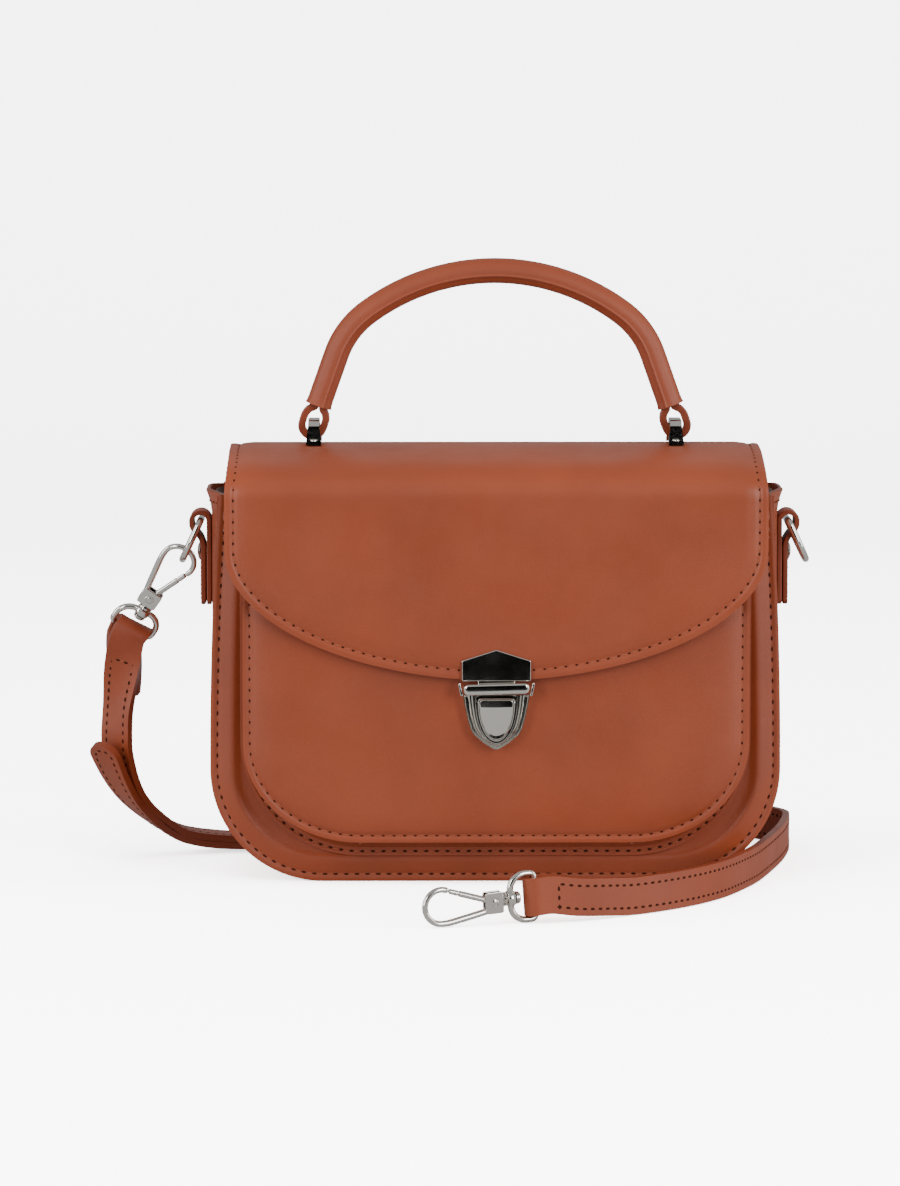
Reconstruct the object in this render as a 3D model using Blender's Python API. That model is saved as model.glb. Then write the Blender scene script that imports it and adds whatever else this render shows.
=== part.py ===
"""Crossbody bag: a structured leather flap bag with a top handle, a press lock and a clip-on strap.

Metres, +Z up. The front faces -Y, and +X is on the right of someone who looks at the front.
The origin is at the middle of the base, on the surface that the bag stands on.
"""
from math import acos, copysign, cos, pi, radians, sin, sqrt

import bmesh
import bpy
from mathutils import Matrix, Vector

# Fits
SEAT_GAP = 0.0003
RUNNING_GAP = 0.0004

# Leather
PANEL_THICKNESS = 0.0024
GUSSET_THICKNESS = 0.0020
LINING_THICKNESS = 0.0008
LINING_EASE = 0.0006
FLAP_THICKNESS = 0.0019
FLAP_LINING_THICKNESS = 0.0012
TAB_THICKNESS = 0.0020
STRAP_THICKNESS = 0.0028
STRAP_WIDTH = 0.0140

# Body
BODY_DEPTH = 0.0620
BODY_HEIGHT = 0.1500
BODY_HALF_WIDTH = 0.1100
BASE_CORNER_RADIUS = 0.0440
SIDE_BOW_RADIUS = 1.5000
GUSSET_INSET = 0.0004
GUSSET_FLAT_HALF = 0.0090
HEM_FLARE = 0.0024
HEM_HEIGHT = 0.0106
BOARD_THICKNESS = 0.0015
BOARD_MARGIN = 0.0010
CORNER_STEPS = 7
SIDE_STATIONS = (0.30, 0.57, 0.77, 0.90, 0.96, 1.00)

# Slip pocket inside
SLIP_WIDTH = 0.1300
SLIP_HEIGHT = 0.0800
SLIP_FLOOR = 0.0400
SLIP_DEPTH = 0.0030
SLIP_SEAM = 0.0040

# Front pocket
POCKET_HALF_WIDTH = 0.0970
POCKET_BOTTOM = 0.0172
POCKET_TOP_DROP = 0.0080
POCKET_CORNER_X = 0.0520
POCKET_CORNER_Z = 0.0560
POCKET_WALL_INSET = 0.0025
POCKET_WALL_BOTTOM_BACK = 0.0140
POCKET_WALL_BOTTOM_FRONT = 0.0195
POCKET_FLANGE_HALF_WIDTH = 0.0983
POCKET_FLANGE_BOTTOM = 0.0103
POCKET_BAND_THICKNESS = 0.0016
POCKET_BAND_DEPTH = 0.0126
POCKET_FRONT_THICKNESS = 0.0018
POCKET_CROWN = 0.0010
POCKET_CROWN_REACH = 0.0300
POCKET_CROWN_STEPS = (0.0, 0.15, 0.45, 1.0)

# Flap
FLAP_HALF_WIDTH = 0.1036
FLAP_RISE = 0.0178
FLAP_APEX_Y = -0.0050
FLAP_CLEARANCE = 0.0016
FLAP_CURVE_POWER = 2.3
FLAP_EDGE_SHOULDER = 0.1305
FLAP_EDGE_DROP = 0.0500
FLAP_EDGE_POWER = 1.9
FLAP_EDGE_STEPS = 8
FLAP_ARCH_STEPS = 12
FLAP_LINING_INSET = 0.0005
FLAP_STAND_OFF = 0.0004
ANCHOR_HEIGHT = 0.0215
ANCHOR_CORNER = 0.0060

# Lock
LOCK_HALF_WIDTH = 0.0132
LOCK_PLATE_BOTTOM = 0.0804
LOCK_PLATE_SHOULDER = 0.0884
LOCK_PLATE_PEAK = 0.0926
LOCK_PLATE_THICKNESS = 0.0013
LOCK_WASHER_THICKNESS = 0.0007
LOCK_WASHER_MARGIN = 0.0016
LOCK_TONGUE_HALF_WIDTH = 0.0070
LOCK_TONGUE_THICKNESS = 0.0008
LOCK_TONGUE_LENGTH = 0.0036
LOCK_BODY_TOP = 0.0750
LOCK_BODY_WAIST = 0.0614
LOCK_BODY_TIP = 0.0540
LOCK_BODY_HALF_WIDTH = 0.0130
LOCK_BODY_WAIST_HALF = 0.0099
LOCK_BODY_DEPTH = 0.0072
LOCK_BODY_BEVEL = 0.0008
LOCK_FLOOR = 0.0016
BUTTON_HALF_WIDTH = 0.0072
BUTTON_TOP = 0.0742
BUTTON_FOOT = 0.0577
BUTTON_PROUD = 0.0005
BUTTON_THICKNESS = 0.0025
BRIDGE_BAR_BOTTOM = 0.0753
BRIDGE_BAR_TOP = 0.0800
BRIDGE_BAR_HALF_WIDTH = 0.0125
BRIDGE_BAR_THICKNESS = 0.0037
BRIDGE_BAR_STAND_OFF = 0.0050
BRIDGE_BAR_EAR = 0.0018
BRIDGE_BAR_CHAMFER = 0.0011
BRIDGE_BAR_SHY = 0.0002
LOCK_CLAMP_THICKNESS = 0.0007
LOCK_CLAMP_HALF_WIDTH = 0.0100
LOCK_CLAMP_MARGIN = 0.0040
SPRING_RADIUS = 0.0022
SPRING_WIRE = 0.0005
SPRING_TURNS = 2

# Handle
HANDLE_Y = -0.0060
HANDLE_BAR_X = 0.0700
HANDLE_BAR_RISE = 0.0087
HANDLE_TOP_RADIUS = 0.0825
HANDLE_TOP_TURN = radians(36.5)
HANDLE_SHOULDER_RADIUS = 0.0340
HANDLE_SHOULDER_TURN = radians(34.0)
HANDLE_TUBE_RADIUS = 0.0052
HANDLE_BORE_RADIUS = 0.0039
HANDLE_TUBE_START = 0.0062
HANDLE_CORE_START = 0.0178
HANDLE_SIDES = 12
LOOP_THICKNESS = 0.0024
LOOP_WIDTH = 0.0056
LOOP_TUCK_WIDTH = 0.0050
LOOP_HALF_WIDTH = 0.0041
LOOP_DROP = 0.0057
LOOP_TUCK = 0.0168
BRIDGE_INNER_WIDTH = 0.0155
BRIDGE_LEG_THICKNESS = 0.0018
BRIDGE_LEG_WIDTH = 0.0046
BRIDGE_FOOT_LENGTH = 0.0036
BRIDGE_FOOT_THICKNESS = 0.0012
BRIDGE_BAR_HEIGHT = 0.0018
BRIDGE_BAR_WIDTH = 0.0040
BRIDGE_WASHER_THICKNESS = 0.0008

# Side tabs and D-rings
TAB_HALF_WIDTH = 0.0072
TAB_FOLD_RADIUS = 0.0034
TAB_FOLD_DROP = 0.0125
TAB_TAPER_DROP = 0.0085
TAB_RIVET_DROP = 0.0120
TAB_LENGTH = 0.0325
RIVET_HEAD_RADIUS = 0.0035
RIVET_HEAD_HEIGHT = 0.0013
RIVET_POST_RADIUS = 0.0012
RING_WIRE = 0.00135
RING_HALF_LENGTH = 0.0089
RING_DEPTH = 0.0170
RING_CORNER = 0.0022
RIGHT_RING_LEAN = radians(25.0)
LEFT_RING_LEAN = radians(25.0)
RING_SIDES = 8

# Snap hooks, in their own frame: U from the swivel to the tip, V towards the gate, N across
HOOK_PLATE_START = 0.0032
HOOK_PLATE_END = 0.0104
HOOK_PLATE_LOW = -0.0048
HOOK_PLATE_HIGH = 0.0034
HOOK_HALF_THICKNESS = 0.0020
HOOK_SLOT_HALF = 0.0010
HOOK_LOOP_CENTRE = 0.0270
HOOK_LOOP_RADIUS = 0.00635
HOOK_WIRE_HALF = 0.00115
HOOK_PIN_U = 0.0066
HOOK_PIN_V = -0.0005
HOOK_PIN_RADIUS = 0.0010
HOOK_PIN_LENGTH = 0.0046
HOOK_LOOP_START = radians(-100.0)
HOOK_LOOP_TURN = radians(217.5)
HOOK_SPINE_U = 0.0090
HOOK_SPINE_V = -0.0036
HOOK_LOOP_WIDTH = 0.0027
GATE_HALF_THICKNESS = 0.0008
GATE_EYE_RADIUS = 0.0019
GATE_REACH = 0.01805
GATE_ANGLE = radians(19.2)
GATE_HALF_WIDTH = 0.0012
SWIVEL_WIRE = 0.00125
SWIVEL_HALF_WIDTH = 0.0086
SWIVEL_DEPTH = 0.0095
SWIVEL_CORNER = 0.0016
SWIVEL_SHOULDER = 0.0058
SWIVEL_BOSS_RADIUS = 0.0030
SWIVEL_BOSS_HALF = 0.0014
SWIVEL_POST_RADIUS = 0.0013
SWIVEL_HEAD_RADIUS = 0.0024
SWIVEL_HEAD_LENGTH = 0.0018

# Left hook: where it hangs on its D-ring
LEFT_HOOK_RUN = Vector((0.530, -0.365, 0.763)).normalized()
LEFT_HOOK_GATE_SIDE = Vector((0.870, 0.0, -0.500))
LEFT_STRAP_ACROSS = Vector((0.920, 0.200, -0.330))
LEFT_STRAP_RUN = Vector((-0.204, -0.030, -0.979))
HANG_GAP = 0.0028
LEFT_HOOK_SHIFT = Vector((-0.0012, 0.0, 0.0))

# Right hook: where it lies on the floor
RIGHT_BAR = Vector((0.0128, -0.1285, 0.0102))
RIGHT_HOOK_HEADING = radians(199.0)
RIGHT_HOOK_DIP = radians(3.7)

# Strap
FOLD_RADIUS = 0.0030
FOLD_BACK_LENGTH = 0.0290
HEEL_FOLD_LENGTH = 0.0150
FOLD_CLOSE_LENGTH = 0.0110
STRAP_STEP = 0.0060
HOOK_LEAD = 0.0060
HEEL_LEAD = 0.0080
STRAP_FLOOR_GAP = 0.0003
STRAP_BACK_Y = 0.0510
TONGUE_TOP_RAISE = 0.0031
TONGUE_TIP_Z = 0.0480
TONGUE_FLARE_Z = 0.0240
TONGUE_FLARE = 0.0036
TONGUE_TIP_PART = 0.6
STRAP_SHORT_ROUTE = ((-0.1475, 0.0152, 0.0653, 37), (-0.1485, 0.0170, 0.0501, 38), (-0.1478, 0.0190, 0.0423, 42),
                     (-0.1444, 0.0230, 0.0308, 52), (-0.1391, 0.0280, 0.0222, 62), (-0.1299, 0.0350, 0.0138, 74),
                     (-0.1214, 0.0405, 0.0088, 82), (-0.1053, 0.0475, 0.0058, 88), (-0.0850, 0.0505, 0.0054, 90),
                     (-0.0620, 0.0510, 0.0065, 90))
STRAP_BUCKLE_ROUTE = ((-0.0260, 0.0036), (-0.0200, 0.0060), (-0.0141, 0.0078), (-0.0080, 0.0067),
                      (0.0000, 0.0040), (0.0080, 0.0022), (0.0160, 0.0017))
STRAP_TWIST_ROUTE = ((0.0300, 30), (0.0450, 60), (0.0600, 90))
STRAP_EDGE_ROUTE = ((0.0750, 0.0510), (0.0828, 0.0542), (0.0860, 0.0620), (0.0828, 0.0698), (0.0750, 0.0730),
                    (0.0400, 0.0730), (-0.0400, 0.0730), (-0.0700, 0.0730), (-0.0778, 0.0762), (-0.0810, 0.0840),
                    (-0.0778, 0.0918), (-0.0700, 0.0950), (-0.0400, 0.0950), (0.0400, 0.0950), (0.0800, 0.0930),
                    (0.0970, 0.0860), (0.1095, 0.0750), (0.1161, 0.0650), (0.1184, 0.0551), (0.1162, 0.0350),
                    (0.1118, 0.0112), (0.1033, -0.0238), (0.0974, -0.0433), (0.0866, -0.0694), (0.0768, -0.0855),
                    (0.0673, -0.0969), (0.0579, -0.1059), (0.0487, -0.1126))
STRAP_LIFT_ROUTE = ((0.0388, -0.1203, 0.0079), (0.0289, -0.1261, 0.0088))
RIGHT_FOLD_SIDE = -1.0
HOLE_RADIUS = 0.0014
HOLE_PITCH = 0.0220
HOLE_COUNT = 5
HOLE_FIRST = 0.0080

# Buckle and keeper
BUCKLE_HEEL_X = -0.0300
BUCKLE_HEEL_Z = 0.0093
BUCKLE_FRONT_X = -0.0141
BUCKLE_FRONT_Z = 0.0048
BUCKLE_HALF_WIDTH = 0.0090
BUCKLE_WIRE = 0.0011
BUCKLE_CORNER = 0.0022
BUCKLE_FOLD_RADIUS = 0.0028
PRONG_RADIUS = 0.0008
PRONG_EYE_RADIUS = 0.0021
PRONG_EYE_END = radians(-50.0)
PRONG_EYE_TURN = radians(290.0)
PRONG_SLOT_HALF = 0.0013
PRONG_REACH = 1.08
PRONG_SLANT = 1.15
PRONG_HOLE_PART = 0.4
KEEPER_X = -0.0520
KEEPER_LENGTH = 0.0080
KEEPER_THICKNESS = 0.0016
KEEPER_PLAY = 0.0003


def material(name, colour, roughness, metallic=0.0):
    """One Principled material with a plain colour."""
    made = bpy.data.materials.new(name)
    made.use_nodes = True
    shader = made.node_tree.nodes["Principled BSDF"]
    shader.inputs["Base Color"].default_value = (*colour, 1.0)
    shader.inputs["Roughness"].default_value = roughness
    shader.inputs["Metallic"].default_value = metallic
    return made


def clear_scene():
    """Remove every object that the file starts with."""
    for old in list(bpy.data.objects):
        bpy.data.objects.remove(old, do_unlink=True)


def finish(name, mesh, look, smooth_angle=40.0):
    """Turn a closed bmesh into a named object with its faces pointing out."""
    bmesh.ops.recalc_face_normals(mesh, faces=mesh.faces)
    data = bpy.data.meshes.new(name)
    mesh.to_mesh(data)
    mesh.free()
    data.shade_smooth()
    data.set_sharp_from_angle(angle=radians(smooth_angle))
    data.materials.append(look)
    made = bpy.data.objects.new(name, data)
    bpy.context.collection.objects.link(made)
    return made


def loft(name, rings, look, closed=False):
    """Join rings of equal point counts into one body, capped at its ends unless it closes on itself."""
    mesh = bmesh.new()
    loops = [[mesh.verts.new(point) for point in ring] for ring in rings]
    pairs = list(zip(loops, loops[1:]))
    if closed:
        pairs.append((loops[-1], loops[0]))
    else:
        mesh.faces.new(reversed(loops[0]))
        mesh.faces.new(loops[-1])
    count = len(loops[0])
    for first, second in pairs:
        for index in range(count):
            following = (index + 1) % count
            mesh.faces.new((first[index], first[following], second[following], second[index]))
    return finish(name, mesh, look)


def plate(name, outline, back, front, look):
    """A flat sheet with an outline in X and Z between two Y values."""
    rings = [[Vector((x, y, z)) for x, z in outline] for y in (back, front)]
    return loft(name, rings, look)


def prism(name, outline, low, high, look, frame=Matrix()):
    """An outline in the first two axes of a frame, raised along its third."""
    rings = [[frame @ Vector((a, b, level)) for a, b in outline] for level in (low, high)]
    return loft(name, rings, look)


def cylinder(name, start, end, radius, look, sides=12):
    """A round bar between two points."""
    run = (end - start).normalized()
    side = run.orthogonal().normalized()
    other = run.cross(side)
    circle = [side * radius * cos(2 * pi * k / sides) + other * radius * sin(2 * pi * k / sides)
              for k in range(sides)]
    return loft(name, [[point + offset for offset in circle] for point in (start, end)], look)


def turned(name, profile, origin, axis, look, sides=14):
    """A profile of (radius, height) pairs turned about an axis; both ends are closed by caps."""
    run = axis.normalized()
    side = run.orthogonal().normalized()
    other = run.cross(side)
    rings = []
    for radius, height in profile:
        centre = origin + run * height
        rings.append([centre + (side * cos(2 * pi * k / sides) + other * sin(2 * pi * k / sides)) * radius
                      for k in range(sides)])
    return loft(name, rings, look)


def tube(name, path, radius, look, sides=8, closed=False, up=None):
    """A round wire along points; its cross-sections lie square to the path."""
    count = len(path)
    rings = []
    side = None
    for index, point in enumerate(path):
        before = path[index - 1] if index or closed else point
        after = path[(index + 1) % count] if index + 1 < count or closed else point
        run = (after - before).normalized()
        if up is not None:
            side = run.cross(up).normalized()
        elif side is None:
            side = run.orthogonal().normalized()
        else:
            side = (side - run * side.dot(run)).normalized()
        other = run.cross(side)
        stretch = 1.0
        if up is not None and (closed or 0 < index < count - 1):
            stretch = 1.0 / cos((after - point).angle(point - before) / 2)
        ring = []
        for k in range(sides):
            angle = 2 * pi * (k + 0.5) / sides
            ring.append(point + (side * cos(angle) * stretch + other * sin(angle)) * radius)
        rings.append(ring)
    return loft(name, rings, look, closed)


def cut(made, cutter, operation="DIFFERENCE"):
    """Cut a piece with another, or join them; the second is a hidden guide."""
    cutter.hide_render = True
    cutter.display_type = "WIRE"
    change = made.modifiers.new(operation.title() + " " + cutter.name, "BOOLEAN")
    change.operation = operation
    change.solver = "EXACT"
    change.object = cutter


def set_origin(made, point):
    """Move an object's origin to a point and leave its shape in place."""
    made.data.transform(Matrix.Translation(-point))
    made.location = point


def empty(name, point, parent=None):
    """A pivot for pieces that move together."""
    made = bpy.data.objects.new(name, None)
    made.empty_display_size = 0.01
    made.location = point
    bpy.context.collection.objects.link(made)
    if parent is not None:
        attach(made, parent)
    return made


def attach(child, parent):
    """Parent one object to another and keep where it stands."""
    bpy.context.view_layer.update()
    child.parent = parent
    child.matrix_parent_inverse = parent.matrix_world.inverted()


def mirrored(half):
    """A whole outline from its right half, which runs upwards."""
    return [(-x, z) for x, z in reversed(half)] + list(half)


def arc(centre, radius, start, turn, steps):
    """Points on a circle from one angle through a turn, both ends included."""
    return [(centre[0] + radius * cos(start + turn * k / steps),
             centre[1] + radius * sin(start + turn * k / steps)) for k in range(steps + 1)]


def side_half(half_width, bottom, top, corner, stations, bow=0.0):
    """Right half of a U outline: flat base, elliptical corner, then a side that may bow."""
    corner_x, corner_z = corner
    points = [(corner_x, bottom)]
    for step in range(1, CORNER_STEPS + 1):
        angle = pi / 2 * step / CORNER_STEPS
        points.append((corner_x + (half_width - corner_x) * sin(angle),
                       corner_z - (corner_z - bottom) * cos(angle)))
    for station in stations:
        height = corner_z + (top - corner_z) * station
        points.append((half_width - bow_drop(height - corner_z, bow), height))
    return points


def bow_drop(rise, bow):
    """How far a side bowed to a radius has come in, at a height above its widest point."""
    return bow - sqrt(bow * bow - rise * rise) if bow else 0.0


def body_half(inset, bottom, top):
    """Right half of the body's outline, moved in by an inset."""
    corner = (BODY_HALF_WIDTH - BASE_CORNER_RADIUS, BASE_CORNER_RADIUS)
    return side_half(BODY_HALF_WIDTH - inset, bottom, top, corner, SIDE_STATIONS, SIDE_BOW_RADIUS)


def pocket_top():
    """Height of the front pocket's mouth."""
    return BODY_HEIGHT - POCKET_TOP_DROP


def pocket_half(half_width, bottom, top):
    """Right half of an outline of the front pocket."""
    return side_half(half_width, bottom, top, (POCKET_CORNER_X, POCKET_CORNER_Z), (0.5, 1.0))


def gusset_swell(x, z):
    """How far the middle of the side band stands out past its sewn edges."""
    if z <= BASE_CORNER_RADIUS:
        return 0.0
    flare = HEM_FLARE * max(0.0, 1.0 - (BODY_HEIGHT - z) / HEM_HEIGHT) ** 2
    return copysign(bow_drop(z - BASE_CORNER_RADIUS, SIDE_BOW_RADIUS) + flare, x)


def side_band(name, inset, bottom, top, thickness, half_depth, look):
    """One band that runs down a side, under the base and up the other side."""
    outer = mirrored(body_half(inset, bottom, top))
    inner = mirrored(body_half(inset + thickness, bottom + thickness, top))
    flat = min(GUSSET_FLAT_HALF, half_depth / 2)
    rings = []
    for (outer_x, outer_z), (inner_x, inner_z) in zip(outer, inner):
        swell = gusset_swell(outer_x, outer_z)
        ring = [Vector((outer_x + swell * (abs(y) == flat), y, outer_z))
                for y in (-half_depth, -flat, flat, half_depth)]
        ring += [Vector((inner_x + swell * (abs(y) == flat), y, inner_z))
                 for y in (half_depth, flat, -flat, -half_depth)]
        rings.append(ring)
    return loft(name, rings, look)


def body_shell(leather):
    """Front and back walls, the band between them and the stiffener on its floor."""
    outline = mirrored(body_half(0.0, 0.0, BODY_HEIGHT))
    outside = BODY_DEPTH / 2
    inside = outside - PANEL_THICKNESS
    plate("back_panel", outline, outside, inside, leather)
    plate("front_panel", outline, -inside, -outside, leather)
    gusset = side_band("main_gusset", GUSSET_INSET, 0.0, BODY_HEIGHT, GUSSET_THICKNESS,
                       inside - SEAT_GAP, leather)
    reach = 2 * GUSSET_THICKNESS
    for side in (-1, 1):
        start = Vector((side * (BODY_HALF_WIDTH - GUSSET_THICKNESS - reach), 0.0, tab_rivet_z()))
        end = Vector((side * (BODY_HALF_WIDTH + reach), 0.0, tab_rivet_z()))
        hole = cylinder("rivet_hole_cutter", start, end, RIVET_POST_RADIUS + SEAT_GAP, leather)
        cut(gusset, hole)


def base_board(fibre):
    """Stiff board on the floor of the side band, under the lining."""
    half_length = BODY_HALF_WIDTH - BASE_CORNER_RADIUS - BOARD_MARGIN
    half_depth = BODY_DEPTH / 2 - PANEL_THICKNESS - SEAT_GAP - BOARD_MARGIN
    low = GUSSET_THICKNESS + SEAT_GAP
    outline = [(-half_length, low), (half_length, low), (half_length, low + BOARD_THICKNESS),
               (-half_length, low + BOARD_THICKNESS)]
    plate("base_board", outline, half_depth, -half_depth, fibre)


def body_lining(cloth):
    """Lining on both walls and round the band, with a slip pocket on the back."""
    inset = GUSSET_INSET + GUSSET_THICKNESS + SEAT_GAP
    floor = GUSSET_THICKNESS + BOARD_THICKNESS + 2 * SEAT_GAP
    top = BODY_HEIGHT - LINING_THICKNESS
    outline = mirrored(body_half(inset, floor, top))
    outside = BODY_DEPTH / 2 - PANEL_THICKNESS - SEAT_GAP
    inside = outside - LINING_THICKNESS
    plate("back_lining", outline, outside, inside, cloth)
    plate("front_lining", outline, -inside, -outside, cloth)
    side_band("gusset_lining", inset + LINING_EASE, floor, top, LINING_THICKNESS, inside - SEAT_GAP, cloth)
    back = inside - SEAT_GAP
    half = SLIP_WIDTH / 2
    ceiling = SLIP_FLOOR + SLIP_HEIGHT
    rim = [(-half, SLIP_FLOOR), (half, SLIP_FLOOR), (half, ceiling), (-half, ceiling)]
    pouch = plate("slip_pocket", rim, back, back - SLIP_DEPTH, cloth)
    hollow = [(-half + SLIP_SEAM, SLIP_FLOOR + SLIP_SEAM), (half - SLIP_SEAM, SLIP_FLOOR + SLIP_SEAM),
              (half - SLIP_SEAM, ceiling + SLIP_SEAM), (-half + SLIP_SEAM, ceiling + SLIP_SEAM)]
    cutter = plate("slip_pocket_cutter", hollow, back + SLIP_SEAM, back - SLIP_DEPTH + LINING_THICKNESS, cloth)
    cut(pouch, cutter)


def pocket_back():
    """Y of the pocket's back face, which lies on the front wall."""
    return -BODY_DEPTH / 2 - SEAT_GAP


def pocket_rim():
    """Y of the front face of the pocket's band."""
    return pocket_back() - POCKET_BAND_DEPTH


def pocket_face():
    """Y of the crown of the pocket front."""
    return pocket_rim() - SEAT_GAP - POCKET_FRONT_THICKNESS - POCKET_CROWN


def pocket_band(leather):
    """The band round the pocket, with one flange sewn to the wall and one sewn to the pocket front."""
    wall_half = POCKET_HALF_WIDTH - POCKET_WALL_INSET
    thick = POCKET_BAND_THICKNESS
    flange = mirrored(pocket_half(POCKET_FLANGE_HALF_WIDTH, POCKET_FLANGE_BOTTOM, pocket_top()))
    wall_back = mirrored(pocket_half(wall_half, POCKET_WALL_BOTTOM_BACK, pocket_top()))
    wall_front = mirrored(pocket_half(wall_half, POCKET_WALL_BOTTOM_FRONT, pocket_top()))
    rim = mirrored(pocket_half(POCKET_HALF_WIDTH, POCKET_BOTTOM, pocket_top()))
    inner_back = mirrored(pocket_half(wall_half - thick, POCKET_WALL_BOTTOM_BACK + thick, pocket_top()))
    inner_front = mirrored(pocket_half(wall_half - thick, POCKET_WALL_BOTTOM_FRONT + thick, pocket_top()))
    back = pocket_back()
    front = pocket_rim()
    section = ((flange, back), (flange, back - thick), (wall_back, back - thick), (wall_front, front + thick),
               (rim, front + thick), (rim, front), (inner_front, front), (inner_back, back))
    rings = [[Vector((line[index][0], y, line[index][1])) for line, y in section]
             for index in range(len(flange))]
    loft("pocket_gusset", rings, leather)


def crown(reach):
    """How far the pocket front stands out at a distance in from its edge, given as a part of its reach."""
    return POCKET_CROWN * (1.0 - (1.0 - reach) ** 2)


def pocket_panels(leather, cloth):
    """The crowned pocket front and the flat lining behind it."""
    def outline(inset):
        return mirrored(pocket_half(POCKET_HALF_WIDTH - inset, POCKET_BOTTOM + inset, pocket_top() - inset))

    back_face = pocket_rim() - SEAT_GAP
    rings = []
    for reach in reversed(POCKET_CROWN_STEPS):
        level = back_face - crown(reach)
        rings.append([Vector((x, level, z)) for x, z in outline(POCKET_CROWN_REACH * reach)])
    for reach in POCKET_CROWN_STEPS:
        level = back_face - POCKET_FRONT_THICKNESS - crown(reach)
        rings.append([Vector((x, level, z)) for x, z in outline(POCKET_CROWN_REACH * reach)])
    loft("pocket_front", rings, leather)
    inset = POCKET_WALL_INSET + POCKET_BAND_THICKNESS + SEAT_GAP
    low = POCKET_WALL_BOTTOM_FRONT + POCKET_BAND_THICKNESS + SEAT_GAP
    lining = mirrored(pocket_half(POCKET_HALF_WIDTH - inset, low, pocket_top() - SEAT_GAP))
    plate("pocket_lining", lining, pocket_rim() + LINING_THICKNESS, pocket_rim(), cloth)


def flap_section(depth, edge_z, first_step):
    """The flap's line in Y and Z at a depth below its outer face, from the hinge to its lower edge."""
    hinge_y = BODY_DEPTH / 2 + FLAP_STAND_OFF + FLAP_THICKNESS
    points = []
    for step in range(first_step, FLAP_ARCH_STEPS + 1):
        angle = pi * step / FLAP_ARCH_STEPS
        reach = hinge_y - FLAP_APEX_Y if angle < pi / 2 else FLAP_APEX_Y - flap_front_y()
        power = 2.0 / FLAP_CURVE_POWER
        along = copysign(max(abs(cos(angle)), 1e-9) ** power, cos(angle))
        height = max(sin(angle), 0.0) ** power
        points.append((FLAP_APEX_Y + (reach - depth) * along, BODY_HEIGHT + (FLAP_RISE - depth) * height))
    points.append((flap_front_y() + depth, edge_z))
    return points


def flap_sheet(name, outer_depth, thickness, inset, first_step, look):
    """One layer of the flap, in sections from its left edge to its right edge."""
    half_width = FLAP_HALF_WIDTH - inset
    rings = []
    for step in range(-FLAP_EDGE_STEPS, FLAP_EDGE_STEPS + 1):
        angle = pi / 2 * abs(step) / FLAP_EDGE_STEPS
        x = copysign(half_width * sin(angle) ** (2.0 / FLAP_EDGE_POWER), step)
        edge_z = FLAP_EDGE_SHOULDER - (FLAP_EDGE_DROP - inset) * cos(angle)
        outer = flap_section(outer_depth, edge_z, first_step)
        inner = flap_section(outer_depth + thickness, edge_z, first_step)
        rings.append([Vector((x, y, z)) for y, z in outer + inner[::-1]])
    return loft(name, rings, look)


def lining_back_y():
    """Y of the back face of the flap's lining, where the flap hangs in front of the pocket."""
    return pocket_face() - FLAP_CLEARANCE


def flap_front_y():
    """Y of the outer face of the flap, where it hangs in front of the pocket."""
    return lining_back_y() - FLAP_LINING_THICKNESS - SEAT_GAP - FLAP_THICKNESS


def flap_apex_z():
    """Height of the flap's top line."""
    return BODY_HEIGHT + FLAP_RISE


def hinge_point():
    """The line on which the flap bends, on the outer face of the back wall."""
    return Vector((0.0, BODY_DEPTH / 2 + FLAP_STAND_OFF + FLAP_THICKNESS + SEAT_GAP, BODY_HEIGHT))


def flap(leather, cloth, hinge):
    """The flap's two layers, and the end of it that is sewn flat on the back wall."""
    outer = flap_sheet("flap_outer", 0.0, FLAP_THICKNESS, 0.0, 0, leather)
    lining = flap_sheet("flap_lining", FLAP_THICKNESS + SEAT_GAP, FLAP_LINING_THICKNESS,
                        FLAP_LINING_INSET, 1, cloth)
    attach(outer, hinge)
    attach(lining, hinge)
    top = BODY_HEIGHT - SEAT_GAP
    bottom = BODY_HEIGHT - ANCHOR_HEIGHT
    corner = arc((FLAP_HALF_WIDTH - ANCHOR_CORNER, bottom + ANCHOR_CORNER), ANCHOR_CORNER, -pi / 2, pi / 2, 4)
    outline = mirrored(corner + [(FLAP_HALF_WIDTH, top)])
    back = BODY_DEPTH / 2 + SEAT_GAP
    plate("flap_anchor", outline, back + FLAP_THICKNESS, back, leather)
    return outer, lining


def side_prism(name, outline, left, right, look):
    """An outline in Y and Z between two X values."""
    return loft(name, [[Vector((x, y, z)) for y, z in outline] for x in (left, right)], look)


def ribbon(name, line, widths, thicknesses, look):
    """A strip along (point, direction across it) pairs, with a width and a thickness at each."""
    rings = []
    last = len(line) - 1
    for index, (point, across) in enumerate(line):
        before = line[max(index - 1, 0)][0]
        after = line[min(index + 1, last)][0]
        run = (after - before).normalized()
        across = (across - run * across.dot(run)).normalized()
        normal = run.cross(across)
        stretch = 1.0
        if 0 < index < last:
            stretch = 1.0 / cos((after - point).angle(point - before) / 2)
        half_width = across * widths[index] / 2
        half_thickness = normal * thicknesses[index] / 2 * stretch
        rings.append([point + half_width + half_thickness, point - half_width + half_thickness,
                      point - half_width - half_thickness, point + half_width - half_thickness])
    return loft(name, rings, look)


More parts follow.
